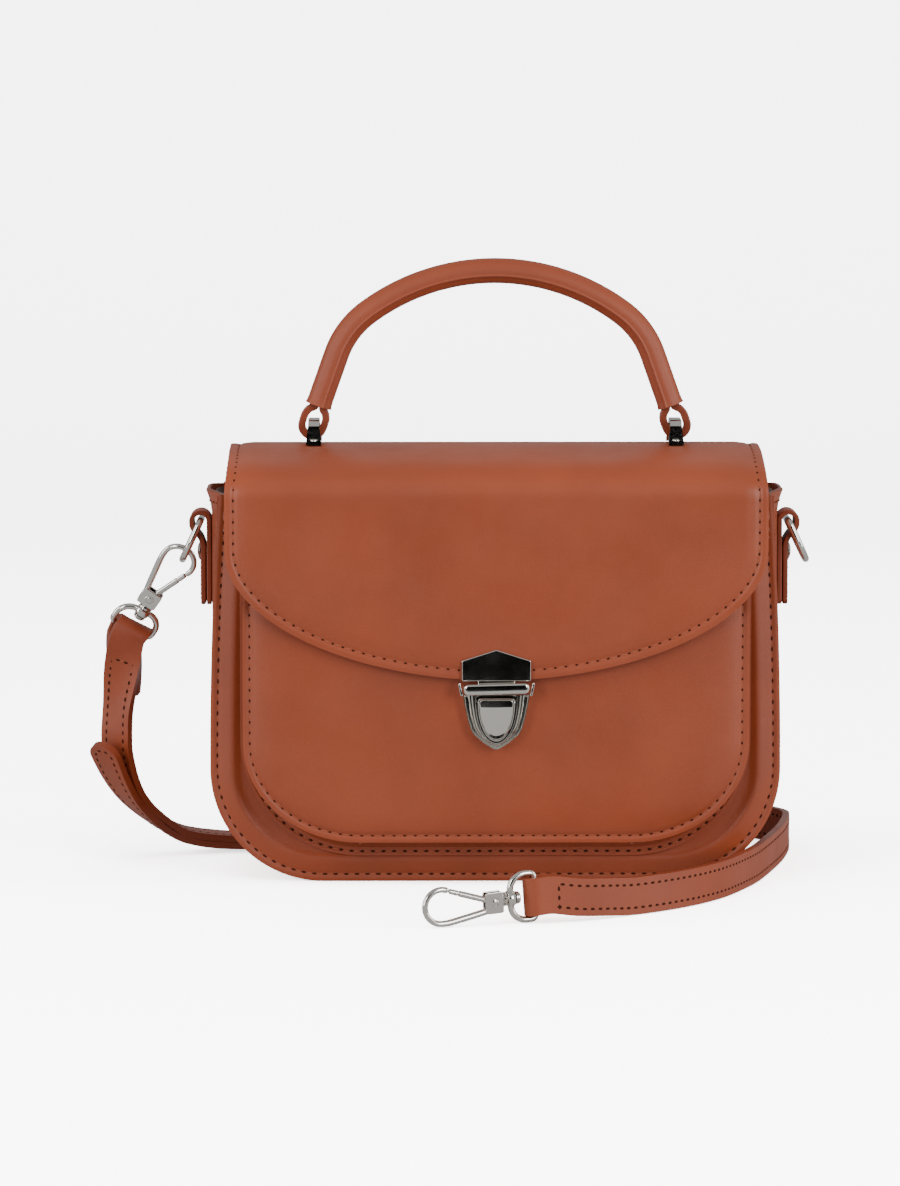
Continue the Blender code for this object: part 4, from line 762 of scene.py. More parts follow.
def wall_relief():
    """How far the walls stand out: pulled in at the seam, then full."""
    distance = edge_finder(BODY.line(90))

    def relief(x, z):
        d = distance(x, z)
        return 1.3 * smooth_step(d, 3.0, 9.2) - 1.3 * smooth_step(d, 9.3, 11.6) - groove(d, WALL_SEAM) \
            - 0.15 * (1 - smooth_step(d, 0.0, 1.2))
    return relief


def make_walls():
    """Front and back walls with their seams."""
    relief = wall_relief()
    seam = moved_in(BODY.line(90), WALL_SEAM)
    for word, facing in (("front", -1), ("back", 1)):
        face = lambda x, z, facing=facing: facing * (BODY_HALF_DEPTH + relief(x, z))
        piece = panel("leather_" + word + "_wall", BODY, face, facing=facing)
        thickened(piece, WALL - 0.1, (tan_leather(), edge_finish()))
        settle(piece, "bag", "tan_leather", word + "_panel")
        shown = [(x, z) for x, z in seam if z < BODY_TOP - 1.5]
        stitches("seam_" + word + "_wall", on_face(shown, face, facing), "bag", hole_length=1.9)


def band_swell(z):
    """How far the side band stands out from its straight line at a height: its bow and the flare of its hem."""
    if z <= BODY_CORNER[1]:
        return 0.0
    return bow_in(z - BODY_CORNER[1], SIDE_BOW) + HEM_FLARE * max(0.0, 1 - (BODY_TOP - z) / HEM_HEIGHT) ** 2


def make_band():
    """The leather band of the sides and base, full in the middle and turned out to its seams."""
    path, beyond = (moved_in(BODY.line(70), inset) for inset in (BAND_INSET, BAND_INSET + 1.0))
    last = len(path) - 1

    def middle(y):
        return smooth_step(BAND_HALF_DEPTH - abs(y), 0.0, 19.0)

    def place(along, over):
        (x, z), (beyond_x, beyond_z) = (line[round(along * last)] for line in (path, beyond))
        y = BAND_HALF_DEPTH * (1 - 2 * over)
        d = BAND_HALF_DEPTH - abs(y)
        lip = BAND_INSET * (1 - smooth_step(d, 0.0, 2.2))
        dent = 0.5 * exp(-((d - 3.2) / 1.3) ** 2) * smooth_step(z, 1.0, 8.0)
        reach = band_swell(z) * middle(y) + lip - dent
        return at(x + (x - beyond_x) * reach, y, z + (z - beyond_z) * reach)

    piece = shaped_grid("leather_side_band", last, 56, place)
    thickened(piece, BAND - 0.1, (tan_leather(), edge_finish()), edge=0.4)
    settle(piece, "bag", "tan_leather", "main_gusset")
    height = BODY_TOP - 4.0
    base = BODY.side(height) - BAND_INSET
    for word, side in SIDES:
        stations = [(at(side * (base + band_swell(height) * middle(y)), y, height), at(side, 0, 0))
                    for y in range(-26, 27)]
        stitches("seam_hem_" + word, stations, "bag")


class MakeBody(bpy.types.Operator):
    """Front wall, back wall and side band"""
    bl_idname = "bag.body"
    bl_label = "Body"

    def execute(self, context):
        make_walls()
        make_band()
        return {"FINISHED"}


# ---------------------------------------------------------------- lining

LINING_SIDE_Y = 27.0
SLIP_HALF = 65.0
SLIP_BOTTOM = 40.0
SLIP_HEIGHT = 80.0


class MakeLining(bpy.types.Operator):
    """Lining of the body and its slip pocket"""
    bl_idname = "bag.lining"
    bl_label = "Lining"

    def execute(self, context):
        cloth = lining_finish()
        leather = tan_leather()
        inner = Outline(BODY_HALF_WIDTH - 2.7, 4.1, BODY_CORNER, BODY_TOP - 0.8, SIDE_BOW)
        trim = Outline(BODY_HALF_WIDTH - 2.9, BODY_TOP - 18.0, (100.0, BODY_TOP - 17.0), BODY_TOP - 0.9)
        for word, facing in (("back", -1), ("front", 1)):
            level = -facing * 27.5
            ripple = lambda x, z: 0.12 * sin(x / 9.0) * sin(z / 13.0)
            piece = panel(word + "_wall_lining", inner,
                          lambda x, z: level - facing * 0.12 + facing * ripple(x, z), 60, 50, facing)
            thickened(piece, 0.6, (cloth,), edge=0.15)
            settle(piece, "bag", "lining_leather", word + "_lining")
            facing_strip = panel(word + "_wall_facing", trim, lambda x, z: level + facing * 0.35, 60, 12, facing)
            thickened(facing_strip, 0.4, (leather, edge_finish()), edge=0.12)
            settle(facing_strip, "bag", "tan_leather")
            row = [(x, BODY_TOP - 16.0) for x in range(-99, 100, 3)]
            stitches("seam_facing_" + word, on_face(row, lambda x, z: level + facing * 0.37, facing), "bag")
        path = moved_in(inner.line(50), 1.4)
        last = len(path) - 1

        def place(along, over):
            x, z = path[round(along * last)]
            y = LINING_SIDE_Y * (2.0 * over - 1.0)
            return at(x + copysign(band_swell(z) * smooth_step(LINING_SIDE_Y - abs(y), 0.0, 18.0), x), y, z)

        piece = shaped_grid("band_lining", last, 24, place)
        thickened(piece, 0.6, (cloth,), edge=0.15)
        settle(piece, "bag", "lining_leather", "gusset_lining")
        self.slip_pocket(cloth)
        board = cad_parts["base_board"]
        coated(board, board_finish())
        return {"FINISHED"}

    @staticmethod
    def slip_pocket(cloth):
        """A flat pouch on the back lining with a bound mouth."""
        def place(across, along):
            x = SLIP_HALF * (2.0 * across - 1.0)
            z = SLIP_BOTTOM + SLIP_HEIGHT * along
            d = min(SLIP_HALF - abs(x), z - SLIP_BOTTOM)
            hem = 0.25 * smooth_step(z, 112.0, 113.0)
            sag = 0.3 * sin(x / 14.0) * smooth_step(z, 60, 110)
            return at(x, 27.0 - 2.4 * smooth_step(d, 1.5, 7.0) - hem + sag, z)

        piece = shaped_grid("slip_pouch", 60, 44, place)
        thickened(piece, 0.6, (cloth,), edge=0.15)
        settle(piece, "bag", "lining_leather", "slip_pocket")
        row = [(-63.5, z) for z in range(119, 41, -3)] + [(x, 41.5) for x in range(-63, 64, 3)]
        row += [(63.5, z) for z in range(42, 120, 3)]
        stitches("seam_slip_pouch", on_face(row, lambda x, z: 26.7), "bag")


# ---------------------------------------------------------------- front pocket

POCKET = Outline(POCKET_HALF_WIDTH, POCKET_BOTTOM, POCKET_CORNER, POCKET_TOP)
POCKET_SEAM = 2.7


def pocket_face(distance):
    """Y of the pocket front: flat at its sewn edge, then full."""
    def face(x, z):
        d = distance(x, z)
        full = 1 - exp(-max(d - POCKET_SEAM - 0.2, 0.0) / 5.5)
        return POCKET_EDGE_Y - POCKET_RISE * full + groove(d, POCKET_SEAM) + 0.1 * (1 - smooth_step(d, 0.0, 1.2))
    return face


class MakePocket(bpy.types.Operator):
    """Front pocket: band, full front and lining"""
    bl_idname = "bag.front_pocket"
    bl_label = "Front pocket"

    def execute(self, context):
        leather = tan_leather()
        knots = [(POCKET_FLANGE_HALF, POCKET_FLANGE_BOTTOM, POCKET_FLANGE_Y),
                 (POCKET_FLANGE_HALF - 0.9, POCKET_FLANGE_BOTTOM + 0.9, POCKET_FLANGE_Y - 0.05),
                 (POCKET_FLANGE_HALF - 1.7, POCKET_FLANGE_BOTTOM + 1.7, POCKET_FLANGE_Y + 0.2),
                 (POCKET_FLANGE_HALF - 2.6, POCKET_FLANGE_BOTTOM + 2.6, POCKET_FLANGE_Y - 0.05),
                 (POCKET_WALL_HALF + 0.5, 13.7, POCKET_FLANGE_Y - 0.3),
                 (POCKET_WALL_HALF, 14.3, POCKET_FLANGE_Y - 1.2),
                 (POCKET_WALL_HALF - 0.2, 16.8, -37.5), (POCKET_WALL_HALF, 19.1, -41.2),
                 (POCKET_WALL_HALF + 0.5, 19.1, POCKET_RIM_Y - 0.1), (POCKET_HALF_WIDTH - 1.2, 18.4, POCKET_RIM_Y),
                 (POCKET_HALF_WIDTH - 0.2, POCKET_BOTTOM + 0.2, POCKET_RIM_Y)]
        lines = [(Outline(half, bottom, POCKET_CORNER, POCKET_TOP).line(60), y) for half, bottom, y in knots]
        last = len(lines[0][0]) - 1
        steps = len(lines) - 1

        def place(along, over):
            index = round(along * last)
            low = min(int(over * steps), steps - 1)
            (first, y1), (second, y2) = lines[low], lines[low + 1]
            (x1, z1), (x2, z2) = first[index], second[index]
            return at(x1, y1, z1).lerp(at(x2, y2, z2), over * steps - low)

        band = shaped_grid("leather_pocket_band", last, 3 * steps, place)
        thickened(band, POCKET_BAND - 0.1, (leather, edge_finish()), edge=0.4)
        settle(band, "bag", "tan_leather", "pocket_gusset")
        flange = Outline(POCKET_FLANGE_HALF, POCKET_FLANGE_BOTTOM, POCKET_CORNER, POCKET_TOP)
        row = moved_in(flange.line(80), 1.7)
        stitches("seam_pocket_band", on_face(row, lambda x, z: POCKET_FLANGE_Y + 0.1), "bag", hole_length=1.6)
        face = pocket_face(edge_finder(POCKET.line(90)))
        front = panel("leather_pocket_front", POCKET, face)
        thickened(front, POCKET_FRONT, (leather, edge_finish()), edge=0.5)
        settle(front, "bag", "tan_leather", "pocket_front")
        stitches("seam_pocket_front", on_face(moved_in(POCKET.line(90), POCKET_SEAM), face), "bag")
        inset = Outline(POCKET_HALF_WIDTH - 4.4, 21.4, POCKET_CORNER, POCKET_TOP - 0.4)
        inner = panel("pocket_front_lining", inset, lambda x, z: -43.15, 50, 44, 1)
        thickened(inner, 0.6, (lining_finish(),), edge=0.15)
        settle(inner, "bag", "lining_leather", "pocket_lining")
        return {"FINISHED"}


# ---------------------------------------------------------------- flap

def flap_section():
    """The flap's outer line in Y and Z, from the hinge over the top to the front, with its normals."""
    points = []
    for k in range(181):
        angle = pi * k / 180
        reach = FLAP_HINGE_Y - FLAP_APEX_Y if angle < pi / 2 else FLAP_APEX_Y - FLAP_FRONT_Y
        power = 2.0 / FLAP_POWER
        along = copysign(max(abs(cos(angle)), 1e-9) ** power, cos(angle))
        points.append(at(0, FLAP_APEX_Y + reach * along, BODY_TOP + FLAP_RISE * max(sin(angle), 0.0) ** power))
    points = spaced(points, 0.7)
    points += [at(0, FLAP_FRONT_Y, BODY_TOP - k) for k in range(1, 73)]
    return points


class FlapSurface:
    """The flap unrolled: X across and the distance from the hinge along it."""

    def __init__(self, inset=0.0):
        self.points = flap_section()
        self.lengths = running(self.points)
        self.arch = max(length for point, length in zip(self.points, self.lengths) if point.z >= BODY_TOP - 1e-6)
        self.half = FLAP_HALF_WIDTH - inset
        self.inset = inset
        self.rim = [(-self.half, self.arch * k / 40) for k in range(41)]
        self.rim += [self.edge(-90 + 180 * k / 120) for k in range(121)]
        self.rim += [(self.half, self.arch * k / 40) for k in range(40, -1, -1)]
        self.distance = edge_finder(self.rim)

    def edge(self, angle):
        """A point of the lower edge; the angle goes from -90 at the left to 90 at the right."""
        turn = radians(angle)
        x = copysign(self.half * abs(sin(turn)) ** (2.0 / FLAP_EDGE_POWER), turn)
        drop = (FLAP_EDGE_DROP - self.inset) * max(cos(turn), 0.0)
        return x, self.arch + BODY_TOP - FLAP_EDGE_TOP + drop

    def at(self, x, along, lift):
        """The point at a place on the unrolled flap, raised from the outer face, and its normal."""
        index, part = spot_on(self.lengths, along)
        point = self.points[index].lerp(self.points[index + 1], part)
        run = (self.points[min(index + 2, len(self.points) - 1)] - self.points[max(index - 1, 0)]).normalized()
        normal = at(0, run.z, -run.y)
        squeeze = 1 - 0.012 * smooth_step(point.z, BODY_TOP, BODY_TOP + FLAP_RISE)
        return at(x * squeeze, point.y + normal.y * lift, point.z + normal.z * lift), normal


FLAP_SEAM = 3.4


def flap_lift(distance, x, along):
    """How far the flap's face stands out: a flat border, the seam, then full leather."""
    d = distance(x, along)
    return 0.5 * smooth_step(d, FLAP_SEAM, FLAP_SEAM + 6.0) - groove(d, FLAP_SEAM, width=0.9) \
        - 0.12 * (1 - smooth_step(d, 0.0, 1.2)) - 0.35


class MakeFlap(bpy.types.Operator):
    """Flap with its lining, and the end sewn on the back wall"""
    bl_idname = "bag.flap"
    bl_label = "Flap"

    def execute(self, context):
        leather = tan_leather()
        surface = FlapSurface()

        def sheet(name, piece_surface, lift, columns, rows):
            def place(across, along):
                x, reach = piece_surface.edge(90 - 180 * across)
                spot = reach * along * (1.35 - 0.35 * along)
                return piece_surface.at(x, spot, lift(x, spot))[0]
            return shaped_grid(name, columns, rows, place)

        outer = sheet("leather_flap", surface, lambda x, s: flap_lift(surface.distance, x, s), 150, 120)
        thickened(outer, FLAP_OUTER - 0.35, (leather, edge_finish()), edge=0.55)
        settle(outer, "flap", "tan_leather", "flap_outer")
        row = []
        for x, along in moved_in(surface.rim, -FLAP_SEAM):
            if along > 3.0:
                row.append(surface.at(x, along, flap_lift(surface.distance, x, along)))
        stitches("seam_flap", row, "flap", hole_length=1.15)
        under = FlapSurface(0.6)
        lining = sheet("flap_inner_layer", under, lambda x, s: -2.25, 100, 80)
        thickened(lining, FLAP_LINING, (lining_finish(), edge_finish()), edge=0.4)
        settle(lining, "flap", "lining_leather", "flap_lining")
        self.anchor(leather)
        return {"FINISHED"}

    @staticmethod
    def anchor(leather):
        """The end of the flap that is sewn flat on the back wall."""
        shape = Outline(FLAP_HALF_WIDTH, BODY_TOP - 21.5, (97.6, BODY_TOP - 15.5), BODY_TOP - 0.3)
        distance = edge_finder(shape.line(40))

        def face(x, z):
            d = distance(x, z)
            return 33.1 - groove(d, 2.6) - 0.25 * (1 - smooth_step(d, 0.0, 1.4)) + 0.15 * smooth_step(d, 3, 7)

        piece = panel("leather_flap_anchor", shape, face, 90, 30, 1)
        thickened(piece, 1.7, (leather, edge_finish()), edge=0.5)
        settle(piece, "bag", "tan_leather", "flap_anchor")
        stitches("seam_flap_anchor", on_face(moved_in(shape.line(40), 2.6), face, 1), "bag")


# ---------------------------------------------------------------- press lock

SHIELD_HALF = ((13.0, 75.0), (12.3, 71.0), (11.2, 66.0), (9.9, 61.6), (8.6, 59.6), (5.0, 56.6), (1.2, 54.2))
# Part of the way from the shield's edge to the button's well, and Y
HOUSING_PROFILE = [(0.0, -47.35), (0.0, -51.0), (0.015, -51.5), (0.05, -51.8), (0.10, -51.8), (0.135, -51.5),
                   (0.15, -51.15), (0.16, -51.1), (0.40, -51.1), (0.41, -51.15), (0.42, -52.0), (0.44, -52.4),
                   (0.48, -52.55), (0.52, -52.4), (0.54, -52.15), (0.55, -52.1), (0.60, -52.1), (0.61, -52.15),
                   (0.62, -53.0), (0.64, -53.4), (0.68, -53.5), (0.72, -53.35), (0.74, -53.15), (0.75, -53.1),
                   (0.88, -53.1), (0.89, -53.15), (0.90, -53.7), (0.93, -54.1), (0.97, -54.1), (1.0, -53.8),
                   (1.0, -49.2), (1.0, -47.35), (0.0, -47.35)]
# Share of the button's outline, and Y
BUTTON_RIM = [(0.0, -52.6), (1.0, -52.6), (1.0, -54.5), (0.985, -54.85), (0.95, -55.05), (0.91, -55.05),
              (0.885, -54.8)]
BUTTON_FACE = [0.86 - 0.86 * k / 22 for k in range(23)]


def button_outline(steps=14):
    """A closed line round the button: a straight top with round corners, sides that close to a blunt tip."""
    side = []
    for k in range(steps + 1):
        turn = pi / 2 * k / steps
        side.append((7.2 * cos(turn), 74.1 - 16.7 * sin(turn) ** (2 / 2.3)))
    side = [(5.9, 74.1), (6.6, 73.9), (7.05, 73.4), (7.2, 72.8)] + [s for s in side if s[1] < 72.5]
    return [(0.0, 74.1)] + side + [(-x, z) for x, z in side[::-1] if x > 0.01] + [(0.0, 74.1)]


LOCK_PLATE = ((-13.2, 80.4), (13.2, 80.4), (13.2, 88.4), (0.0, 92.6), (-13.2, 88.4))
LOCK_TONGUE = ((-7.0, 76.8), (7.0, 76.8), (7.0, 81.0), (-7.0, 81.0))
HOUSING_FLOOR = ((-9.2, 60.0), (0.0, 55.2), (9.2, 60.0), (12.0, 74.9), (-12.0, 74.9))
HOUSING_TOP = ((-12.7, 74.4), (12.7, 74.4), (12.7, 75.1), (-12.7, 75.1))
BUTTON_MIDDLE = (0, 0, 67.5)
BAR_HALF = 12.6
BAR_LEAN = 1.4
BAR_END = 1.9
BAR_EAR = ((12.6, 74.9), (13.7, 74.9), (14.7, 79.6), (13.9, 80.2))


class MakeLock(bpy.types.Operator):
    """Press lock: plate, ridged housing, bar and push button"""
    bl_idname = "bag.press_lock"
    bl_label = "Press lock"

    def execute(self, context):
        metal = metal_finish()
        plate = slab("lock_flap_plate", LOCK_PLATE, -52.25, -53.6, 0.5, metal, 4)
        settle(plate, "flap", "polished_metal", "lock_plate")
        tongue = slab("lock_tongue", LOCK_TONGUE, -52.5, -53.3, 0.25, metal)
        settle(tongue, "flap", "polished_metal")
        self.housing(metal)
        self.button(metal)
        self.bar(metal)
        for node in ("lock_plate_washer", "lock_backplate", "lock_spring"):
            coated(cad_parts[node], metal)
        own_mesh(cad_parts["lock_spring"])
        return {"FINISHED"}

    @staticmethod
    def housing(metal):
        """A shield whose face steps up in ridges to the button."""
        half = [at(x, 0, z) for x, z in SHIELD_HALF]
        shield = [at(-point.x, 0, point.z) for point in half] + [at(0, 0, 53.9)] + half[::-1]
        half = [(7.6 * cos(pi / 2 * k / 24), 75.0 - 18.0 * sin(pi / 2 * k / 24) ** (2 / 2.3)) for k in range(25)]
        well = [at(-x, 0, z) for x, z in half] + [at(x, 0, z) for x, z in half[-2::-1]]
        outer = spaced(shield, 0.6)
        inner_lengths = running(well)
        last = len(outer) - 1
        outer_lengths = running(outer)
        inner = [point_at(well, inner_lengths, inner_lengths[-1] * length / outer_lengths[-1])
                 for length in outer_lengths]

        def place(along, over):
            index = round(along * last)
            part, y = HOUSING_PROFILE[round(over * (len(HOUSING_PROFILE) - 1))]
            point = outer[index].lerp(inner[index], part)
            return at(point.x, y, point.z)

        ring = shaped_grid("lock_housing", last, len(HOUSING_PROFILE) - 1, place)
        merged(ring)
        edited(ring, (bpy.ops.mesh.fill_holes, {"sides": 0}), FACE_OUT)
        coated(ring, metal)
        smoothed(ring, 38.0)
        weighted(ring)
        settle(ring, "bag", "polished_metal", "lock_body")
        floor = slab("lock_housing_floor", HOUSING_FLOOR, -47.35, -49.1, 0.2, metal)
        settle(floor, "bag", "polished_metal")
        top = slab("lock_housing_top", HOUSING_TOP, -47.4, -51.6, 0.3, metal)
        settle(top, "bag", "polished_metal")

    @staticmethod
    def button(metal):
        """The push button: a raised rim, a flat band across its top and a face that falls back below."""
        outline = spaced([at(x, 0, z) for x, z in button_outline()], 0.45)
        last = len(outline) - 1
        middle = at(*BUTTON_MIDDLE)
        rows = len(BUTTON_RIM) + len(BUTTON_FACE) - 1

        def place(along, over):
            edge = outline[round(along * last)]
            index = round(over * rows)
            if index < len(BUTTON_RIM):
                scale, y = BUTTON_RIM[index]
                point = middle.lerp(edge, scale)
                return at(point.x, y, point.z)
            point = middle.lerp(edge, BUTTON_FACE[index - len(BUTTON_RIM)])
            return at(point.x, -54.6 + 0.15 * max(0.0, 70.4 - point.z), point.z)

        piece = shaped_grid("lock_push_button", last, rows, place)
        merged(piece, recalculate=True)
        coated(piece, metal)
        smoothed(piece, 28.0)
        settle(piece, "button", "polished_metal", "lock_button")

    @staticmethod
    def bar(metal):
        """The bar over the tongue, with rounded ends, and its ears."""
        def section(part, turn):
            end = min(min(part, 1 - part) * 25.0, BAR_END)
            small = 0.25 + 0.75 * sqrt(1 - (1 - end / BAR_END) ** 2)
            return (copysign(abs(cos(turn)) ** 0.45, cos(turn)) * 2.05 * small,
                    copysign(abs(sin(turn)) ** 0.45, sin(turn)) * 1.5 * small)

        lean = sin(radians(BAR_LEAN))
        along = [-BAR_HALF + 2 * BAR_HALF * k / 60 for k in range(61)]
        line = [at(x, -55.35, 77.7 + x * lean) for x in along]
        piece = swept("lock_bar", line, section, 32, at(0, 0, 1))
        coated(piece, metal)
        settle(piece, "bag", "polished_metal", "lock_bridge")
        for word, side in SIDES:
            ear = slab("lock_bar_ear_" + word, [(side * x, z) for x, z in BAR_EAR], -50.5, -54.6, 0.3, metal)
            settle(ear, "bag", "polished_metal")


# ---------------------------------------------------------------- handle

def handle_line(start, steps=1.5):
    """The handle's line from its left end to its right end."""
    (top_radius, top_turn), (shoulder_radius, shoulder_turn) = HANDLE_TURNS
    whole = radians(top_turn + shoulder_turn)
    turn = radians(top_turn)
    bar_x, bar_z = HANDLE_BAR
    end_x = top_radius * sin(turn) + shoulder_radius * (sin(whole) - sin(turn))
    leg = (bar_x - end_x) / cos(whole)
    drop = top_radius * (1 - cos(turn)) + shoulder_radius * (cos(turn) - cos(whole))
    top = bar_z + drop + leg * sin(whole)
    half = arc((0.0, top - top_radius), top_radius, 90, -top_turn, 30)
    centre = (half[-1][0] - shoulder_radius * sin(turn), half[-1][1] - shoulder_radius * cos(turn))
    half += arc(centre, shoulder_radius, 90 - top_turn, -shoulder_turn, 20)[1:]
    half.append((bar_x - start * cos(whole), bar_z + start * sin(whole)))
    points = [at(-x, HANDLE_Y, z) for x, z in half[:0:-1]] + [at(x, HANDLE_Y, z) for x, z in half]
    return spaced(points, steps)


def handle_up():
    """Direction of the left end of the handle, away from its bar."""
    whole = radians(sum(turn for radius, turn in HANDLE_TURNS))
    return cos(whole), sin(whole)


RIDGE_TURN = 74
FLAT_TURNS = (60, 70)
CORE_START = 17.8
STRAND_TWIST = 18.0
LOOP_HALF = ((1.3, 16.5), (1.3, 9.0), (1.35, 6.4), (1.9, 5.3), (3.2, 4.1), (4.1, 2.2), (4.25, 0.2))
BRIDGE_HALF = ((12.2, 168.75), (9.6, 168.75), (8.75, 169.2), (8.65, 170.2), (8.65, 173.0), (8.6, 174.9),
               (8.1, 176.0), (7.0, HANDLE_BAR[1]), (5.0, HANDLE_BAR[1]), (2.0, HANDLE_BAR[1]))
BRIDGE_RIVET = ((0.0, 0.0), (0.0, 1.3), (0.25, 1.25), (0.5, 0.8), (0.55, 0.0))
BRIDGE_RIVET_Y = 11.1
BRIDGE_FOOT_Z = 169.55


class MakeHandle(bpy.types.Operator):
    """Padded handle, its end loops and metal bridges"""
    bl_idname = "bag.handle"
    bl_label = "Handle"

    def execute(self, context):
        # A copy of the strap leather, rougher and 4% darker; the darkening is painted shade on the handle
        leather = leather_finish("Handle leather with painted shade", tuple(c * 0.96 for c in colours().strap), 0.52)
        points = handle_line(HANDLE_START)
        length = running(points)[-1]

        def section(part, turn):
            inner = pi - abs(atan2(sin(turn + pi / 2), cos(turn + pi / 2)))
            end = min(part, 1 - part) * length
            radius = HANDLE_RADIUS + 0.1
            ridge = 0.4 * exp(-((inner - radians(RIDGE_TURN)) / radians(4)) ** 2)
            flat = 0.8 * (1 - smooth_step(inner, *(radians(turn) for turn in FLAT_TURNS)))
            radius += 0.35 * (1 - smooth_step(end, 0.0, 2.2)) + ridge - flat
            return radius * cos(turn), radius * sin(turn)

        cover = swept("leather_handle_cover", points, section, 96, at(0, -1, 0), capped=False)
        edited(cover, FACE_OUT)
        if sum(f.normal.dot(f.center - handle_middle(points, f.center)) for f in cover.data.polygons) < 0:
            cover.data.flip_normals()
        thickened(cover, 1.1, (leather, edge_finish()), edge=0.3)
        settle(cover, "handle", "tan_leather", "handle_cover")
        self.core()
        for word, side in SIDES:
            self.loop(word, side, leather)
            self.bridge(word, side)
        return {"FINISHED"}

    @staticmethod
    def core():
        """Three cotton strands laid round each other inside the cover."""
        points = handle_line(CORE_START, 1.2)
        axes = frames_along(points, at(0, -1, 0))
        lengths = running(points)
        for strand in range(3):
            path = []
            for point, (run, across, normal), length in zip(points, axes, lengths):
                turn = 2 * pi * (strand / 3 + length / STRAND_TWIST)
                path.append(point + (across * cos(turn) + normal * sin(turn)) * 1.65)
            piece = wire("cord_strand_" + str(strand + 1), path, 1.75, cord_finish(), at(0, -1, 0), sides=12)
            settle(piece, "handle", "cord_filling", *(("handle_core",) if strand == 0 else ()))

    @staticmethod
    def loop(word, side, leather):
        """A thick leather loop round the bridge's bar, tucked into the handle."""
        cos_up, sin_up = handle_up()
        origin = at(side * HANDLE_BAR[0], HANDLE_Y, HANDLE_BAR[1])
        up = at(-side * cos_up, 0, sin_up)
        out = at(sin_up, 0, side * cos_up)
        line = [*LOOP_HALF, *arc((0, -1.6), 4.2, 0, -180, 14), *((-a, b) for a, b in LOOP_HALF[::-1])]
        smooth = catmull([at(a, 0, b) for a, b in line], 5)
        stations = [(origin + out * p.x + up * p.z, at(0, 1, 0)) for p in spaced(smooth, 0.6)]
        piece = ribbon("leather_handle_loop_" + word, stations, lambda d, whole: 2.8, 4)
        thickened(piece, 2.9, (leather, edge_finish()), edge=1.0, offset=0.0)
        settle(piece, "handle", "tan_leather", "handle_loop_" + word)

    @staticmethod
    def bridge(word, side):
        """A polished staple with rounded corners and feet on the flap."""
        metal = metal_finish()
        x = side * HANDLE_BAR[0]
        half = list(BRIDGE_HALF)
        line = catmull([at(0, a, b) for a, b in half + [(-a, b) for a, b in half[::-1]]], 4)
        stations = [(at(x, HANDLE_Y + p.y, p.z), at(1, 0, 0)) for p in spaced(line, 0.45)]

        def width(distance, whole):
            end = min(distance, whole - distance)
            return 2.9 - 0.75 * smooth_step(end, 3.0, 11.0)

        piece = ribbon("metal_handle_bridge_" + word, stations, width, 3)
        thickened(piece, 1.7, (metal,), edge=0.75, offset=0.0)
        settle(piece, "flap", "polished_metal", "handle_bridge_" + word)
        coated(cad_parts["bridge_washer_" + word], metal)
        for foot in (-1, 1):
            rivet = turned("bridge_rivet_" + word + ("_front" if foot < 0 else "_back"), BRIDGE_RIVET,
                           at(x, HANDLE_Y + foot * BRIDGE_RIVET_Y, BRIDGE_FOOT_Z), at(0, 0, 1), metal, 16)
            settle(rivet, "flap", "polished_metal")


def handle_middle(points, spot):
    """The nearest point of the handle's line to a place in metres, in metres."""
    place = spot / MM
    return min(points, key=lambda p: (p - place).length_squared) * MM


def catmull(points, steps):
    """A smooth line through points."""
    result = []
    last = len(points) - 1
    for index in range(last):
        a, b, c, d = (points[min(max(index + k, 0), last)] for k in (-1, 0, 1, 2))
        for step in range(steps):
            t = step / steps
            result.append(blend_knots(a, b, c, d, t))
    result.append(points[-1])
    return result


def blend_knots(before, start, end, after, part):
    """A point on the smooth curve between the two middle knots of four."""
    slope_in = (end - before) / 2
    slope_out = (after - start) / 2
    square = part * part
    cube = square * part
    return (start * (2 * cube - 3 * square + 1) + slope_in * (cube - 2 * square + part)
            + end * (3 * square - 2 * cube) + slope_out * (cube - square))


# ---------------------------------------------------------------- side tabs and rings

TAB_FOLD = (114.3, 137.5)
RING_LEAN = 25.0
RING_WIRE = 1.35


def ring_points(side):
    """The closed line of one D-ring."""
    half, depth, corner = 8.9, 17.0, 2.2
    line = arc((half - corner, corner), corner, -90, 90, 6) + arc((0, depth - half), half, 0, 180, 30)
    line += arc((corner - half, corner), corner, 180, 90, 6)
    line.append(line[0])
    down = at(side * sin(radians(RING_LEAN)), 0, -cos(radians(RING_LEAN)))
    origin = at(side * TAB_FOLD[0], 0, TAB_FOLD[1])
    return spaced([origin + at(0, 1, 0) * a + down * b for a, b in line], 0.8), at(0, 1, 0).cross(down)


TAB_INNER = 110.9
TAB_HANG = 32.5
TAB_SEAM = ((-5.0, 126.0), (-5.0, 116.0), (-5.0, 107.8), (-4.0, 107.2), (4.0, 107.2), (5.0, 107.8), (5.0, 116.0),
            (5.0, 126.0))
SIDE_RIVET = ((-4.0, 0.0), (-4.0, 1.2), (0.0, 1.2), (0.0, 3.5), (0.3, 3.55), (0.7, 3.1), (1.05, 2.2),
              (1.25, 1.1), (1.3, 0.0))
SIDE_RIVET_Z = 125.5


